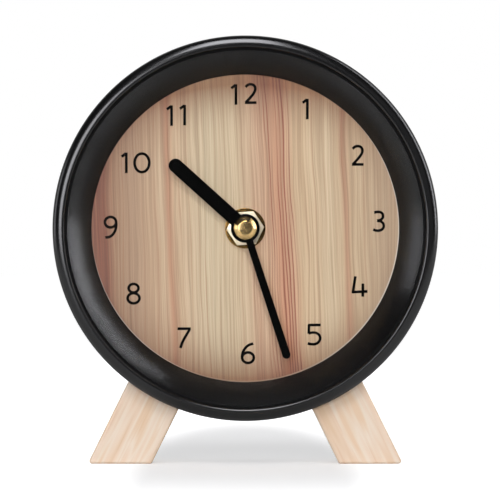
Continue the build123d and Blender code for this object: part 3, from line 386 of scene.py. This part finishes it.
# %% Give each solid its finish
finishes = {
    gloss_abs: ["case_shell"], satin_abs: ["bezel_ring"], acrylic: ["lens"], wood_face: ["dial_plate"],
    cover_abs: ["rear_cover"], pine_left: ["left_leg"], pine_right: ["right_leg"],
    zinc: ["rear_cover_screws", "leg_screws"], cap_brass: ["cap_nut", "minute_arbor"],
    nut_brass: ["hex_nut", "threaded_bushing"], washer_brass: ["dial_washer"],
    hand_paint: ["hour_hand", "minute_hand"], rubber: ["rubber_gasket"], soft_pvc: ["lens_ring"],
    movement_abs: ["movement_front_case", "movement_rear_case"], knob_abs: ["set_knob"],
    acetal: ["hour_wheel", "motion_wheel", "set_shaft", "centre_wheel", "third_wheel", "seconds_wheel",
             "fifth_wheel", "rotor_pinion", "coil_bobbin"],
    ferrite: ["rotor_magnet"], motor_steel: ["stator", "coil_core"], copper_wire: ["coil_winding"],
    solder_mask: ["circuit_board"], epoxy: ["driver_chip"],
    nickel: ["positive_contact", "negative_contact", "quartz_crystal"], sleeve: ["battery_cell"],
}
for finish, names in finishes.items():
    for name in names:
        nodes[name].data.materials[0] = finish
print("solids with a finish:", sum(map(len, finishes.values())), "of", len(nodes))

# %% [markdown]
# ## Growing pieces with Geometry Nodes
# Several pieces follow a rule: turned rings follow a circle, and printed numbers follow strokes. Geometry
# Nodes suit such pieces, because the rule is a small tree with named sizes. Short helpers put an object in
# the scene, take the plain mesh that its modifiers give, make a tree with named inputs, and grow a mesh
# with it. The last one finishes a mesh and lets it ride on its body.

# %% Helpers for Geometry Nodes
def placed(name, data):
    """New object in the scene."""
    made = bpy.data.objects.new(name, data)
    bpy.context.scene.collection.objects.link(made)
    return made


def plain_mesh(maker):
    """Mesh that an object's modifiers give. The object is then removed."""
    ready = maker.evaluated_get(bpy.context.evaluated_depsgraph_get())
    mesh = bpy.data.meshes.new_from_object(ready)
    bpy.data.objects.remove(maker)
    return mesh


def geometry_tree(name, inputs):
    """Empty geometry tree with named inputs, and its input and output nodes."""
    tree = bpy.data.node_groups.new(name, "GeometryNodeTree")
    tree.interface.new_socket("Geometry", in_out="OUTPUT", socket_type="NodeSocketGeometry")
    for label, kind in inputs.items():
        tree.interface.new_socket(label, in_out="INPUT", socket_type="NodeSocket" + kind)
    return tree, add(tree, "NodeGroupInput").outputs, add(tree, "NodeGroupOutput")


def grow(source, tree, values):
    """Plain mesh that a tree grows on a mesh or curve."""
    maker = placed("maker", source)
    modifier = maker.modifiers.new("grow", "NODES")
    modifier.node_group = tree
    for item in tree.interface.items_tree:
        if item.in_out == "INPUT" and item.name in values:
            modifier[item.identifier] = values[item.name]
    return plain_mesh(maker)


def settle(mesh, name, body, slot, sharp=35.0, replaced=()):
    """Piece of a finished mesh, with closed seams, outward faces and smooth shading up to a sharp angle."""
    work = bmesh.new()
    work.from_mesh(mesh)
    bmesh.ops.remove_doubles(work, verts=work.verts, dist=1e-7)
    bmesh.ops.dissolve_degenerate(work, edges=work.edges, dist=1e-8)
    bmesh.ops.recalc_face_normals(work, faces=work.faces)
    work.to_mesh(mesh)
    work.free()
    mesh.shade_smooth()
    mesh.set_sharp_from_angle(angle=math.radians(sharp))
    piece = placed(name, mesh)
    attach(piece, body)
    for node in replaced:
        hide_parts(node)
    print(f"{name}: {len(mesh.polygons)} faces")


# %% [markdown]
# ## Turning on a lathe
# The case, the bezel, the washer and the cap are turned shapes: one outline, swept round the clock's axis.
# A spin in mesh code would do, but sweeping a curve round a circle keeps the outline as a curve that can be
# edited later. The outline is a list of corners, each with its radius, its depth and how much its edge is
# rounded. Real edges are never perfectly sharp, and the small rounding is what catches the light.

# %% The lathe
lathe, given, end = geometry_tree(
    "turned_ring", {"Outline": "Geometry", "Segments": "Int", "Finish": "Material"})
circle = add(lathe, "GeometryNodeCurvePrimitiveCircle", {"Resolution": given["Segments"], "Radius": 1.0})
swept = add(lathe, "GeometryNodeCurveToMesh", {"Curve": circle, "Profile Curve": given["Outline"]})
joined = add(lathe, "GeometryNodeMergeByDistance", {"Geometry": swept, "Distance": 1e-7})
plain = add(lathe, "GeometryNodeRealizeInstances", {"Geometry": joined})
coated = add(lathe, "GeometryNodeSetMaterial", {"Geometry": plain, "Material": given["Finish"]})
lathe.links.new(coated.outputs[0], end.inputs[0])


def rounded(corners, closed, steps=5):
    """Outline in millimetres whose corners (radius, depth, rounding) are rounded off."""
    points = []
    for i, (r, d, rounding) in enumerate(corners):
        if rounding == 0 or (not closed and i in (0, len(corners) - 1)):
            points.append((r, d))
            continue
        corner = Vector((r, d))
        to_last = (Vector(corners[i - 1][:2]) - corner).normalized()
        to_next = (Vector(corners[(i + 1) % len(corners)][:2]) - corner).normalized()
        half = to_last.angle(to_next) / 2
        middle = corner + (to_last + to_next).normalized() * rounding / math.sin(half)
        first = corner + to_last * rounding / math.tan(half) - middle
        last = corner + to_next * rounding / math.tan(half) - middle
        turn = first.angle_signed(last)
        for step in range(steps + 1):
            spoke = first.copy()
            spoke.rotate(Matrix.Rotation(-turn * step / steps, 2))
            points.append(tuple(middle + spoke))
    return points


def rolled(top, depth, edge, fall, steps):
    """Points of an arc that leaves its top flat and falls away to an edge, as (radius, depth)."""
    across = edge - top
    size = (across ** 2 + fall ** 2) / 2 / fall
    sweep = math.asin(across / size)
    bends = [sweep * i / steps for i in range(steps + 1)]
    return [(top + size * math.sin(a), depth + size * (1 - math.cos(a))) for a in bends]


def spun(corners, finish, closed=True, segments=192):
    """Mesh swept round its own axis from an outline of corners (radius, depth, rounding)."""
    outline = bpy.data.curves.new("outline", "CURVE")
    line = outline.splines.new("POLY")
    points = rounded(corners, closed)
    line.points.add(len(points) - 1)
    for point, (r, d) in zip(line.points, points):
        point.co = (r * MM - 1.0, d * MM, 0, 1)
    line.use_cyclic_u = closed
    return grow(outline, lathe, {"Segments": segments, "Finish": finish})


def turned(corners, finish, name, body, slot, closed=True, segments=192, **more):
    """Piece turned from an outline, on the clock's axis."""
    mesh = spun(corners, finish, closed, segments)
    stand_up(mesh)
    settle(mesh, name, body, slot, **more)


print("lathe ready, inputs:", [i.name for i in lathe.interface.items_tree if i.in_out == "INPUT"])

# %% [markdown]
# ## The case and its bezel
# The case is one moulding. Its lip rolls outwards from a crest near the lens, so it carries a broad highlight
# round the rim, and behind the lip the barrel steps in and runs straight back. Inside, a shelf holds the
# dial. The bezel is a separate cone that slopes from the lens down to the dial. It is satin where the lip is
# glossy, and that contrast draws the dark line between the two.

# %% Turn the case and the bezel
barrel, bore, shelf = lip_radius - 1.8, lip_radius - 3.6, lip_radius - 7.6
shelf_front, shelf_back, lip_depth = dial_front + 2.0, dial_front + 4.0, 5.0
crest, inner_fall, outer_fall = bore + 0.7, 0.6, 1.7
roll = rolled(crest, 0.0, bore, inner_fall, 10)[:0:-1] + rolled(crest, 0.0, lip_radius, outer_fall, 24)
case_outline = [(r, d, 0) for r, d in roll] + [
    (lip_radius, lip_depth, 0.4), (barrel, lip_depth, 0.3), (barrel, case_depth, 1.0),
    (bore, case_depth, 0.3), (bore, shelf_back, 0), (shelf, shelf_back, 0.2), (shelf, shelf_front, 0.2),
    (bore, shelf_front, 0)]
turned(case_outline, gloss_abs, "turned_case", "case", "case_black", segments=256, replaced=["case_shell"])
lens_back, bezel_wall = 3.3, 1.5
bezel_outer, cone_rim, opening = bore - 0.1, bore - 0.6, bore - 8.0
bezel_outline = [
    (bezel_outer, lens_back, 0.1), (cone_rim, lens_back, 0.12), (opening, dial_front, 0.06),
    (opening + bezel_wall, dial_front, 0), (cone_rim, lens_back + bezel_wall, 0), (cone_rim, dial_front, 0),
    (bezel_outer, dial_front, 0)]
turned(bezel_outline, satin_abs, "turned_bezel", "case", "bezel_black", segments=256, replaced=["bezel_ring"])

# %% [markdown]
# ## The hand stack
# A brass washer and a hexagon nut clamp the dial to the movement, and a small polished cap holds the minute
# hand. The cap has a low dome and a sloping shoulder, and the shoulder mirrors the sides of the room as two
# white crescents. The cap and washer go on the lathe. The nut and the two hands keep their solids' shapes,
# and a copy of each gets a fine bevel, because stamped and milled edges are always broken a little.

# %% Turn the cap and the washer
cap_front, cap_back, cap_radius, cap_top, shoulder = 3.8, 5.2, 3.4, 2.1, 1.09
crown_fall, cap_wall, arbor = 0.07, 0.6, 1.52
crown_edge, cap_inside = cap_front + crown_fall, cap_front + cap_wall
dome = [(r, d, 0) for r, d in rolled(0.0, cap_front, cap_top, crown_fall, 4)][:-1]
cap_outline = dome + [
    (cap_top, crown_edge, 0.25), (cap_radius, crown_edge + shoulder, 0.15), (cap_radius, cap_back, 0.05),
    (arbor, cap_back, 0), (arbor, cap_inside, 0), (0, cap_inside, 0)]
turned(cap_outline, cap_brass, "turned_cap", "minute_works", "brass", closed=False, segments=96,
       replaced=["cap_nut"])
washer_hole, washer_radius, washer_front = 3.55, 6.05, dial_front - 0.4
washer_outline = [(washer_hole, washer_front, 0.06), (washer_radius, washer_front, 0.12),
                  (washer_radius, dial_front, 0), (washer_hole, dial_front, 0)]
turned(washer_outline, washer_brass, "turned_washer", "case", "brass", segments=96, replaced=["dial_washer"])


# %% Break the edges of the nut and the hands
def softened(node, name, body, slot, width, sharp=20.0):
    """Stand-in for a solid: a copy of its mesh with sharp edges bevelled by a width in millimetres."""
    mesh = nodes[node].data.copy()
    work = bmesh.new()
    work.from_mesh(mesh)
    bmesh.ops.remove_doubles(work, verts=work.verts, dist=1e-7)
    bmesh.ops.dissolve_limit(work, angle_limit=math.radians(0.3), verts=work.verts, edges=work.edges)
    work.to_mesh(mesh)
    work.free()
    maker = placed("maker", mesh)
    bevel = maker.modifiers.new("edge", "BEVEL")
    bevel.width, bevel.segments, bevel.limit_method = width * MM, 2, "ANGLE"
    bevel.angle_limit = math.radians(40)
    settle(plain_mesh(maker), name, body, slot, sharp, [node])


softened("hex_nut", "milled_nut", "case", "brass", 0.1)
softened("hour_hand", "stamped_hour_hand", "hour_works", "hand_black", 0.08)
softened("minute_hand", "stamped_minute_hand", "minute_works", "hand_black", 0.08)

# %% [markdown]
# ## Numbers on the dial
# The numbers are printed in a light, rounded hand: a one with a short flag, an open four, a six and a nine
# with free tails. A font would bring its own character, so each number is drawn here as a few strokes, and
# a tree sweeps a flat ribbon of ink along them. A number's drawing is in hundredths of its half height, and
# strokes that cross lie at slightly different heights, as ink does.

# %% Strokes of each number
def line(*points):
    """Stroke of straight parts."""
    return ("line", points)


def curve(*points):
    """Stroke that bends smoothly through its points."""
    return ("curve", points)


def ring(x, y, half_width, half_height):
    """Closed oval stroke."""
    turns = [(x + half_width * math.cos(a), y + half_height * math.sin(a)) for a in
             (math.pi / 2, math.pi, 3 * math.pi / 2, 0)]
    return ("ring", turns)


strokes = {
    "0": [ring(0, 0, 73, 92)],
    "1": [line((20, 102), (20, -102)), line((-27, 62), (16, 94))],
    "2": [curve((-50, 64), (-26, 85), (4, 91), (37, 76), (47, 45), (36, 10), (0, -38), (-46, -88)),
          line((-57, -91), (59, -91))],
    "3": [curve((-46, 86), (-14, 92), (26, 84), (42, 54), (26, 18), (-16, 4)),
          curve((-16, 4), (24, -4), (49, -40), (38, -76), (4, -93), (-30, -92), (-56, -82))],
    "4": [line((-42, 102), (-68, -62)), line((-77, -55), (78, -48)), line((32, 30), (31, -100))],
    "5": [line((-64, 92), (63, 93)), line((-53, 92), (-56, 6)),
          curve((-56, 10), (-20, 17), (26, 10), (56, -25), (50, -65), (16, -94), (-24, -98), (-66, -91))],
    "6": [ring(0, -42, 58, 52), curve((52, 98), (6, 82), (-36, 40), (-57, -12), (-58, -44))],
    "7": [line((-66, 91), (66, 91)), curve((57, 88), (20, 25), (-14, -36), (-37, -101))],
    "8": [ring(2, 54, 49, 42), ring(2, -46, 59, 50)],
    "9": [ring(-2, 50, 56, 52), curve((54, 52), (54, 8), (37, -48), (-4, -92), (-54, -103))],
    "plus": [line((-60, 0), (60, 0)), line((0, -60), (0, 60))],
    "minus": [line((-60, 0), (60, 0))],
    "arrow": [curve((-235, 90), (-170, 185), (-70, 242), (40, 248), (150, 202), (222, 112)),
              line((240, 180), (218, 100)), line((142, 118), (224, 104))],
}
print("drawn characters:", len(strokes))

# %% A tree that lays ink along strokes
pen, given, end = geometry_tree(
    "ink_ribbon", {"Strokes": "Geometry", "Width": "Float", "Thickness": "Float", "Finish": "Material"})
upright = add(pen, "GeometryNodeSetCurveNormal", {"Curve": given["Strokes"]}, mode="Z_UP")
nib = add(pen, "GeometryNodeCurvePrimitiveQuadrilateral",
          {"Width": given["Width"], "Height": given["Thickness"]})
ink = add(pen, "GeometryNodeCurveToMesh", {"Curve": upright, "Profile Curve": nib, "Fill Caps": True})
inked = add(pen, "GeometryNodeRealizeInstances", {"Geometry": ink})
dried = add(pen, "GeometryNodeSetMaterial", {"Geometry": inked, "Material": given["Finish"]})
pen.links.new(dried.outputs[0], end.inputs[0])


def drawn(layout, unit, width, thickness, finish):
    """Mesh of characters laid out as (character, x, y) in millimetres, where 100 units are half a height."""
    page = bpy.data.curves.new("page", "CURVE")
    page.dimensions, page.twist_mode, page.resolution_u = "3D", "Z_UP", 8
    for character, x, y in layout:
        for layer, (kind, points) in enumerate(strokes[character]):
            stroke = page.splines.new("BEZIER")
            stroke.bezier_points.add(len(points) - 1)
            stroke.use_cyclic_u = kind == "ring"
            for bend, (px, py) in zip(stroke.bezier_points, points):
                bend.co = ((x + px * unit) * MM, (y + py * unit) * MM, thickness * (0.5 + 0.15 * layer) * MM)
                bend.handle_left_type = bend.handle_right_type = "VECTOR" if kind == "line" else "AUTO"
    return grow(page, pen, {"Width": width * MM, "Thickness": thickness * MM, "Finish": finish})


# Places in millimetres from the dial's middle. They follow a circle a little above the hands' own middle.
number_places = [
    ("1", -3.40, 40.05), ("2", 1.56, 40.35), ("1", 17.96, 35.69), ("2", 33.61, 21.85), ("3", 39.93, 2.14),
    ("4", 34.21, -17.42), ("5", 20.67, -31.71), ("6", 0.81, -37.43), ("7", -18.29, -32.77),
    ("8", -33.49, -19.53), ("9", -40.26, 0.33), ("1", -36.20, 19.59), ("0", -30.93, 19.59),
    ("1", -22.66, 33.73), ("1", -18.75, 33.88)]
ink_black = moulded("screen_ink_black", "#060504", "#0a0807", 0.14, 0.3, 0.0002, 0.3)
numbers = drawn(number_places, unit=0.0301, width=0.82, thickness=0.03, finish=ink_black)
stand_up(numbers, dial_front)
settle(numbers, "printed_numbers", "case", "hand_black")

# %% [markdown]
# ## Marks moulded on the back
# The back of a quartz movement carries a few raised marks: an arrow over the knob that sets the hands, and
# a plus and a minus for the cell. The same tree draws them, standing a little proud of the plastic.

# %% Arrow, plus and minus
movement_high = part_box("movement_rear_case")[1]
movement_back = (movement_high.y - front_y) / MM
knob_low, knob_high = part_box("set_knob")
knob_x = (knob_low.x + knob_high.x) / 2 / MM
knob_up = ((knob_low.z + knob_high.z) / 2 - axis_height) / MM
raised = 0.16
marks = drawn([("arrow", -knob_x, knob_up)], unit=0.0335, width=0.5, thickness=raised, finish=movement_abs)
stand_up(marks, movement_back, from_behind=True)
settle(marks, "moulded_arrow", "case", "movement_black")
sign_places = [("plus", -22.0, -8.4), ("minus", 22.0, -8.6)]
signs = drawn(sign_places, unit=0.02, width=0.45, thickness=raised, finish=movement_abs)
stand_up(signs, movement_back, from_behind=True)
settle(signs, "moulded_signs", "case", "movement_black")

# %% [markdown]
# ## Screws in the rear cover
# Three pan-head screws hold the rear cover. One screw is modelled with a domed head and a slot, and a tree
# sets copies of it on the points of a circle, which is how anything that repeats on a ring is best made. The
# same tree then sets the three bosses inside the case that the screws bite into.

# %% One pan-head screw
screw_ring, head_radius, head_height, slot_half = 49.6, 2.6, 1.8, 0.4


def pan_head(radius, height, slot, slot_depth, shank_radius, shank_length):
    """Mesh of a slotted pan-head screw that points down its own z, with its head's seat at zero."""
    work = bmesh.new()
    rows = [(0.0, -shank_length), (shank_radius * 0.6, -shank_length), (shank_radius, -shank_length + 0.6),
            (shank_radius, 0), (radius, 0), (radius, height * 0.45), (radius * 0.96, height * 0.66),
            (radius * 0.82, height * 0.86), (radius * 0.6, height * 0.96), (0.0, height)]
    loop = [work.verts.new((r * MM, 0, z * MM)) for r, z in rows]
    edges = [work.edges.new(pair) for pair in zip(loop, loop[1:])]
    bmesh.ops.spin(work, geom=loop + edges, cent=(0, 0, 0), axis=(0, 0, 1), angle=2 * math.pi, steps=48)
    bmesh.ops.remove_doubles(work, verts=work.verts, dist=1e-6)
    bmesh.ops.recalc_face_normals(work, faces=work.faces)
    mesh = bpy.data.meshes.new("screw")
    work.to_mesh(mesh)
    work.free()
    cutter = bpy.data.meshes.new("slot")
    work = bmesh.new()
    bmesh.ops.create_cube(work, size=1.0)
    bmesh.ops.scale(work, vec=(2.4 * radius * MM, 2 * slot * MM, 2 * slot_depth * MM), verts=work.verts)
    bmesh.ops.translate(work, vec=(0, 0, height * MM), verts=work.verts)
    work.to_mesh(cutter)
    work.free()
    return mesh, cutter


screw_mesh, slot_mesh = pan_head(head_radius, head_height, slot_half,
                                 slot_depth=0.8, shank_radius=1.4, shank_length=8.0)
screw_maker, slot_maker = placed("screw_maker", screw_mesh), placed("slot_maker", slot_mesh)
cut = screw_maker.modifiers.new("slot", "BOOLEAN")
cut.object, cut.operation, cut.solver = slot_maker, "DIFFERENCE", "EXACT"
slotted = placed("slotted", plain_mesh(screw_maker))
bpy.data.objects.remove(slot_maker)
print("one screw:", len(slotted.data.polygons), "faces")

# %% Three of them on a ring
screws, given, end = geometry_tree(
    "pieces_on_a_ring",
    {"Geometry": "Geometry", "Piece": "Object", "Count": "Int", "Radius": "Float", "Finish": "Material"})
spots = add(screws, "GeometryNodeMeshCircle", {"Vertices": given["Count"], "Radius": given["Radius"]})
pattern = add(screws, "GeometryNodeObjectInfo", {"Object": given["Piece"]})
turns = add(screws, "FunctionNodeRandomValue", {"Min": (0, 0, 0.2), "Max": (0, 0, 2.9), "Seed": 5},
            data_type="FLOAT_VECTOR")
copies = add(screws, "GeometryNodeInstanceOnPoints",
             {"Points": spots, "Instance": pattern.outputs["Geometry"], "Rotation": turns})
whole = add(screws, "GeometryNodeRealizeInstances", {"Geometry": copies})
plated = add(screws, "GeometryNodeSetMaterial", {"Geometry": whole, "Material": given["Finish"]})
screws.links.new(plated.outputs[0], end.inputs[0])


def ringed(pattern, finish, depth, from_behind):
    """Mesh of three copies of an object on the screws' circle, which then stands in the clock."""
    mesh = grow(bpy.data.meshes.new("ring"), screws,
                {"Piece": pattern, "Count": 3, "Radius": screw_ring * MM, "Finish": finish})
    bpy.data.objects.remove(pattern)
    # The first point of a mesh circle lies at three o'clock, and the first screw at twelve.
    mesh.transform(Matrix.Rotation(math.pi / 2, 4, "Z"))
    stand_up(mesh, depth, from_behind)
    return mesh


settle(ringed(slotted, zinc, movement_back, True), "cover_screws", "case", "screw_steel",
       replaced=["rear_cover_screws"])

# %% The bosses that they hold in
cover_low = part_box("rear_cover")[0]
boss_back = (cover_low.y - front_y) / MM
boss_hole, boss_radius = 1.42, 4.6
boss_outline = [(boss_hole, shelf_back, 0), (boss_radius, shelf_back, 0), (boss_radius, boss_back, 0.2),
                (boss_hole, boss_back, 0.1)]
boss = placed("boss", spun(boss_outline, gloss_abs, segments=48))
settle(ringed(boss, gloss_abs, 0.0, False), "cover_bosses", "case", "case_black")

# %% [markdown]
# ## Floor and white surroundings
# The clock stands on a white table against white, as in a catalogue. A real white sweep would need far more
# light than the object, so the floor glows a little for the rays that end in the camera, and about half as
# much in reflections. The rest of its brightness is ordinary diffuse light, which keeps the clock's shadow.
# Near the clock the floor glows less, which paints a grey shade round it besides its real shadow. Away
# from the clock, soonest at its sides, the floor turns fully white and meets the sky. In reflections its
# front edge fades out, or the lens would show it as a line.

# %% Floor
floor_radius, floor_shift = 6.0, 5.45
floor_mesh = bpy.data.meshes.new("floor")
work = bmesh.new()
bmesh.ops.create_circle(work, cap_ends=True, radius=floor_radius, segments=128)
bmesh.ops.translate(work, vec=(0, floor_shift, 0), verts=work.verts)
work.to_mesh(floor_mesh)
work.free()
floor = placed("floor", floor_mesh)
table, tree, out, mm = new_finish("matt_white_table")
path = add(tree, "ShaderNodeLightPath").outputs
mirrored = add(tree, "ShaderNodeMath", {0: path["Is Glossy Ray"], 1: 0.55}, operation="MULTIPLY")
seen = add(tree, "ShaderNodeMath", {0: path["Is Camera Ray"], 1: mirrored}, operation="ADD")
# Painted shade: near the clock the floor glows less, so a grey strip shows there besides the real shadow. It
# ends 26 to 46 mm to either side, and fades out 30 to 450 mm in front.
ground = add(tree, "ShaderNodeVectorMath", {0: mm, 1: (8, 0.77, 0)}, operation="MULTIPLY")
away = add(tree, "ShaderNodeVectorMath", {0: ground}, operation="LENGTH").outputs["Value"]
aside = add(tree, "ShaderNodeMapRange", {"Value": away, "From Min": 205.0, "From Max": 370.0},
            interpolation_type="SMOOTHSTEP")
towards = add(tree, "ShaderNodeSeparateXYZ", {"Vector": mm}).outputs["Y"]
ahead = add(tree, "ShaderNodeMapRange", {"Value": towards, "From Min": -30.0, "From Max": -450.0},
            interpolation_type="SMOOTHSTEP")
far = add(tree, "ShaderNodeMath", {0: aside, 1: ahead}, operation="MAXIMUM")
glow_with_painted_shade = add(tree, "ShaderNodeMapRange", {"Value": far, "To Min": 0.455, "To Max": 1.0})
glow_seen = add(tree, "ShaderNodeMath", {0: glow_with_painted_shade, 1: seen}, operation="MULTIPLY")
shine = add(tree, "ShaderNodeEmission", {"Color": (1, 1, 1, 1), "Strength": glow_seen})
matt = add(tree, "ShaderNodeBsdfDiffuse", {"Color": linear("#e6e6e8")})
both = add(tree, "ShaderNodeAddShader", {0: matt, 1: shine})
front_edge = add(tree, "ShaderNodeMapRange", {"Value": towards, "From Min": -250.0, "From Max": -545.0})
fading = add(tree, "ShaderNodeMath", {0: front_edge, 1: path["Is Glossy Ray"]}, operation="MULTIPLY")
faded = add(tree, "ShaderNodeMixShader", {0: fading, 1: both, 2: add(tree, "ShaderNodeBsdfTransparent")})
tree.links.new(faded.outputs[0], out.inputs["Surface"])
floor_mesh.materials.append(table)
print("floor:", floor_mesh.name)

# %% [markdown]
# ## Studio light
# A glossy black rim shows its lights more than its colour, so the lamps are placed for what the rim and the
# cone reflect. The cone's left part mirrors the right side of the room, and its lowest part mirrors the
# ceiling, which is why the ceiling stays dark and a tall panel stands on the right. The jobs are split.
# Five fills light the surfaces, and are kept out of reflections as a studio does with a polarising filter.
# The main fill above the camera drops the shadow behind the clock, a low one reaches under the lip, two at
# the sides keep the edges of the legs pale, and one lights the back. The strips and panels show in the
# gloss alone, and are a touch cooler. Each lamp is given by its size and its radiance, which is how bright
# it looks, and its power follows from those two.

# %% Lamps
def softbox(name, place, aim, width, height, radiance, fill=False):
    """Area lamp turned towards a point: a fill lights surfaces, any other lamp shows in reflections only."""
    lamp = bpy.data.lights.new(name, "AREA")
    lamp.shape, lamp.size, lamp.size_y = "RECTANGLE", width, height
    lamp.energy = radiance * math.pi * width * height
    lamp.color = linear("#ffffff" if fill else "#fafaff")[:3]
    holder = placed(name, lamp)
    holder.location = place
    holder.rotation_euler = (Vector(place) - Vector(aim)).to_track_quat("Z", "Y").to_euler()
    holder.visible_glossy, holder.visible_diffuse = not fill, fill


middle = (0, 0, axis_height)
softbox("main_fill", (-0.06, -1.45, 1.00), middle, 1.20, 0.80, 4.1, fill=True)
softbox("low_fill", (0.00, -1.72, 0.19), middle, 0.80, 0.32, 17.8, fill=True)
softbox("left_fill", (-1.30, -0.10, 0.22), middle, 0.80, 0.34, 6.0, fill=True)
softbox("right_fill", (1.30, -0.10, 0.22), middle, 0.80, 0.34, 6.0, fill=True)
softbox("back_fill", (0.00, 1.30, 0.80), middle, 1.20, 0.60, 3.0, fill=True)
softbox("front_left", (-0.64, -1.48, 0.32), middle, 0.72, 0.64, 11.5)
softbox("front_right", (0.85, -1.45, 0.45), middle, 1.20, 1.00, 0.3)
softbox("top_front", (-0.06, -0.80, 0.99), middle, 0.44, 0.76, 16.0)
softbox("right_panel", (1.00, -0.08, 1.00), (0, -0.08, 1.00), 0.24, 1.90, 8.8)
softbox("left_panel", (-1.10, -0.11, 0.24), (0, -0.11, 0.24), 0.30, 0.46, 3.4)
softbox("back_left", (-0.80, 1.10, 0.70), middle, 0.60, 0.60, 0.8)
softbox("back_right", (0.80, 1.10, 0.70), middle, 0.60, 0.60, 0.8)
print("lamps:", len(bpy.data.lights))

# %% Surroundings
world = bpy.data.worlds.new("studio")
bpy.context.scene.world = world
world.use_nodes = True
tree = world.node_tree
tree.nodes.clear()
out = add(tree, "ShaderNodeOutputWorld")
path = add(tree, "ShaderNodeLightPath").outputs
outwards = add(tree, "ShaderNodeTexCoord").outputs["Generated"]
direction = add(tree, "ShaderNodeSeparateXYZ", {"Vector": outwards})
behind = add(tree, "ShaderNodeMapRange", {"Value": direction.outputs["Y"], "From Min": 0.1, "From Max": 0.4})
passed_on = add(tree, "ShaderNodeMath", {0: path["Is Glossy Ray"], 1: path["Is Transmission Ray"]},
                operation="ADD")
away = add(tree, "ShaderNodeMath", {0: passed_on, 1: behind}, operation="MULTIPLY")
white = add(tree, "ShaderNodeMath", {0: path["Is Camera Ray"], 1: away}, operation="ADD", use_clamp=True)
room = add(tree, "ShaderNodeBackground", {"Color": linear("#a8a8aa"), "Strength": 0.05})
paper = add(tree, "ShaderNodeBackground", {"Color": (1, 1, 1, 1), "Strength": 1.0})
sky = add(tree, "ShaderNodeMixShader", {0: white, 1: room, 2: paper})
tree.links.new(sky.outputs[0], out.inputs["Surface"])
print("surroundings:", world.name)

# %% [markdown]
# ## Camera
# The photograph was taken square to the dial from well back with a long lens, with the camera level and a
# little below the middle of the dial. The distance sets how much perspective there is, and the focal length
# then follows from how wide the frame is where the lip stands: 500 pixels at 3.354 pixels to a millimetre.

# %% Camera
distance, sensor, frame_pixels, pixels_per_mm = 1600.0, 36.0, 500, 3.354
camera_right, camera_below = 1.405, 6.48
lens_data = bpy.data.cameras.new("camera")
lens_data.sensor_width = sensor
lens_data.lens = pixels_per_mm * sensor * distance / frame_pixels
lens_data.clip_end = 50.0
camera = placed("camera", lens_data)
camera.location = (camera_right * MM, front_y + (outer_fall - distance) * MM, axis_height - camera_below * MM)
camera.rotation_euler = (math.pi / 2, 0, 0)
bpy.context.scene.camera = camera
bpy.context.scene.view_settings.view_transform = "Standard"
print(f"camera: {lens_data.lens:.0f} mm lens at {distance / 1000:.1f} m")
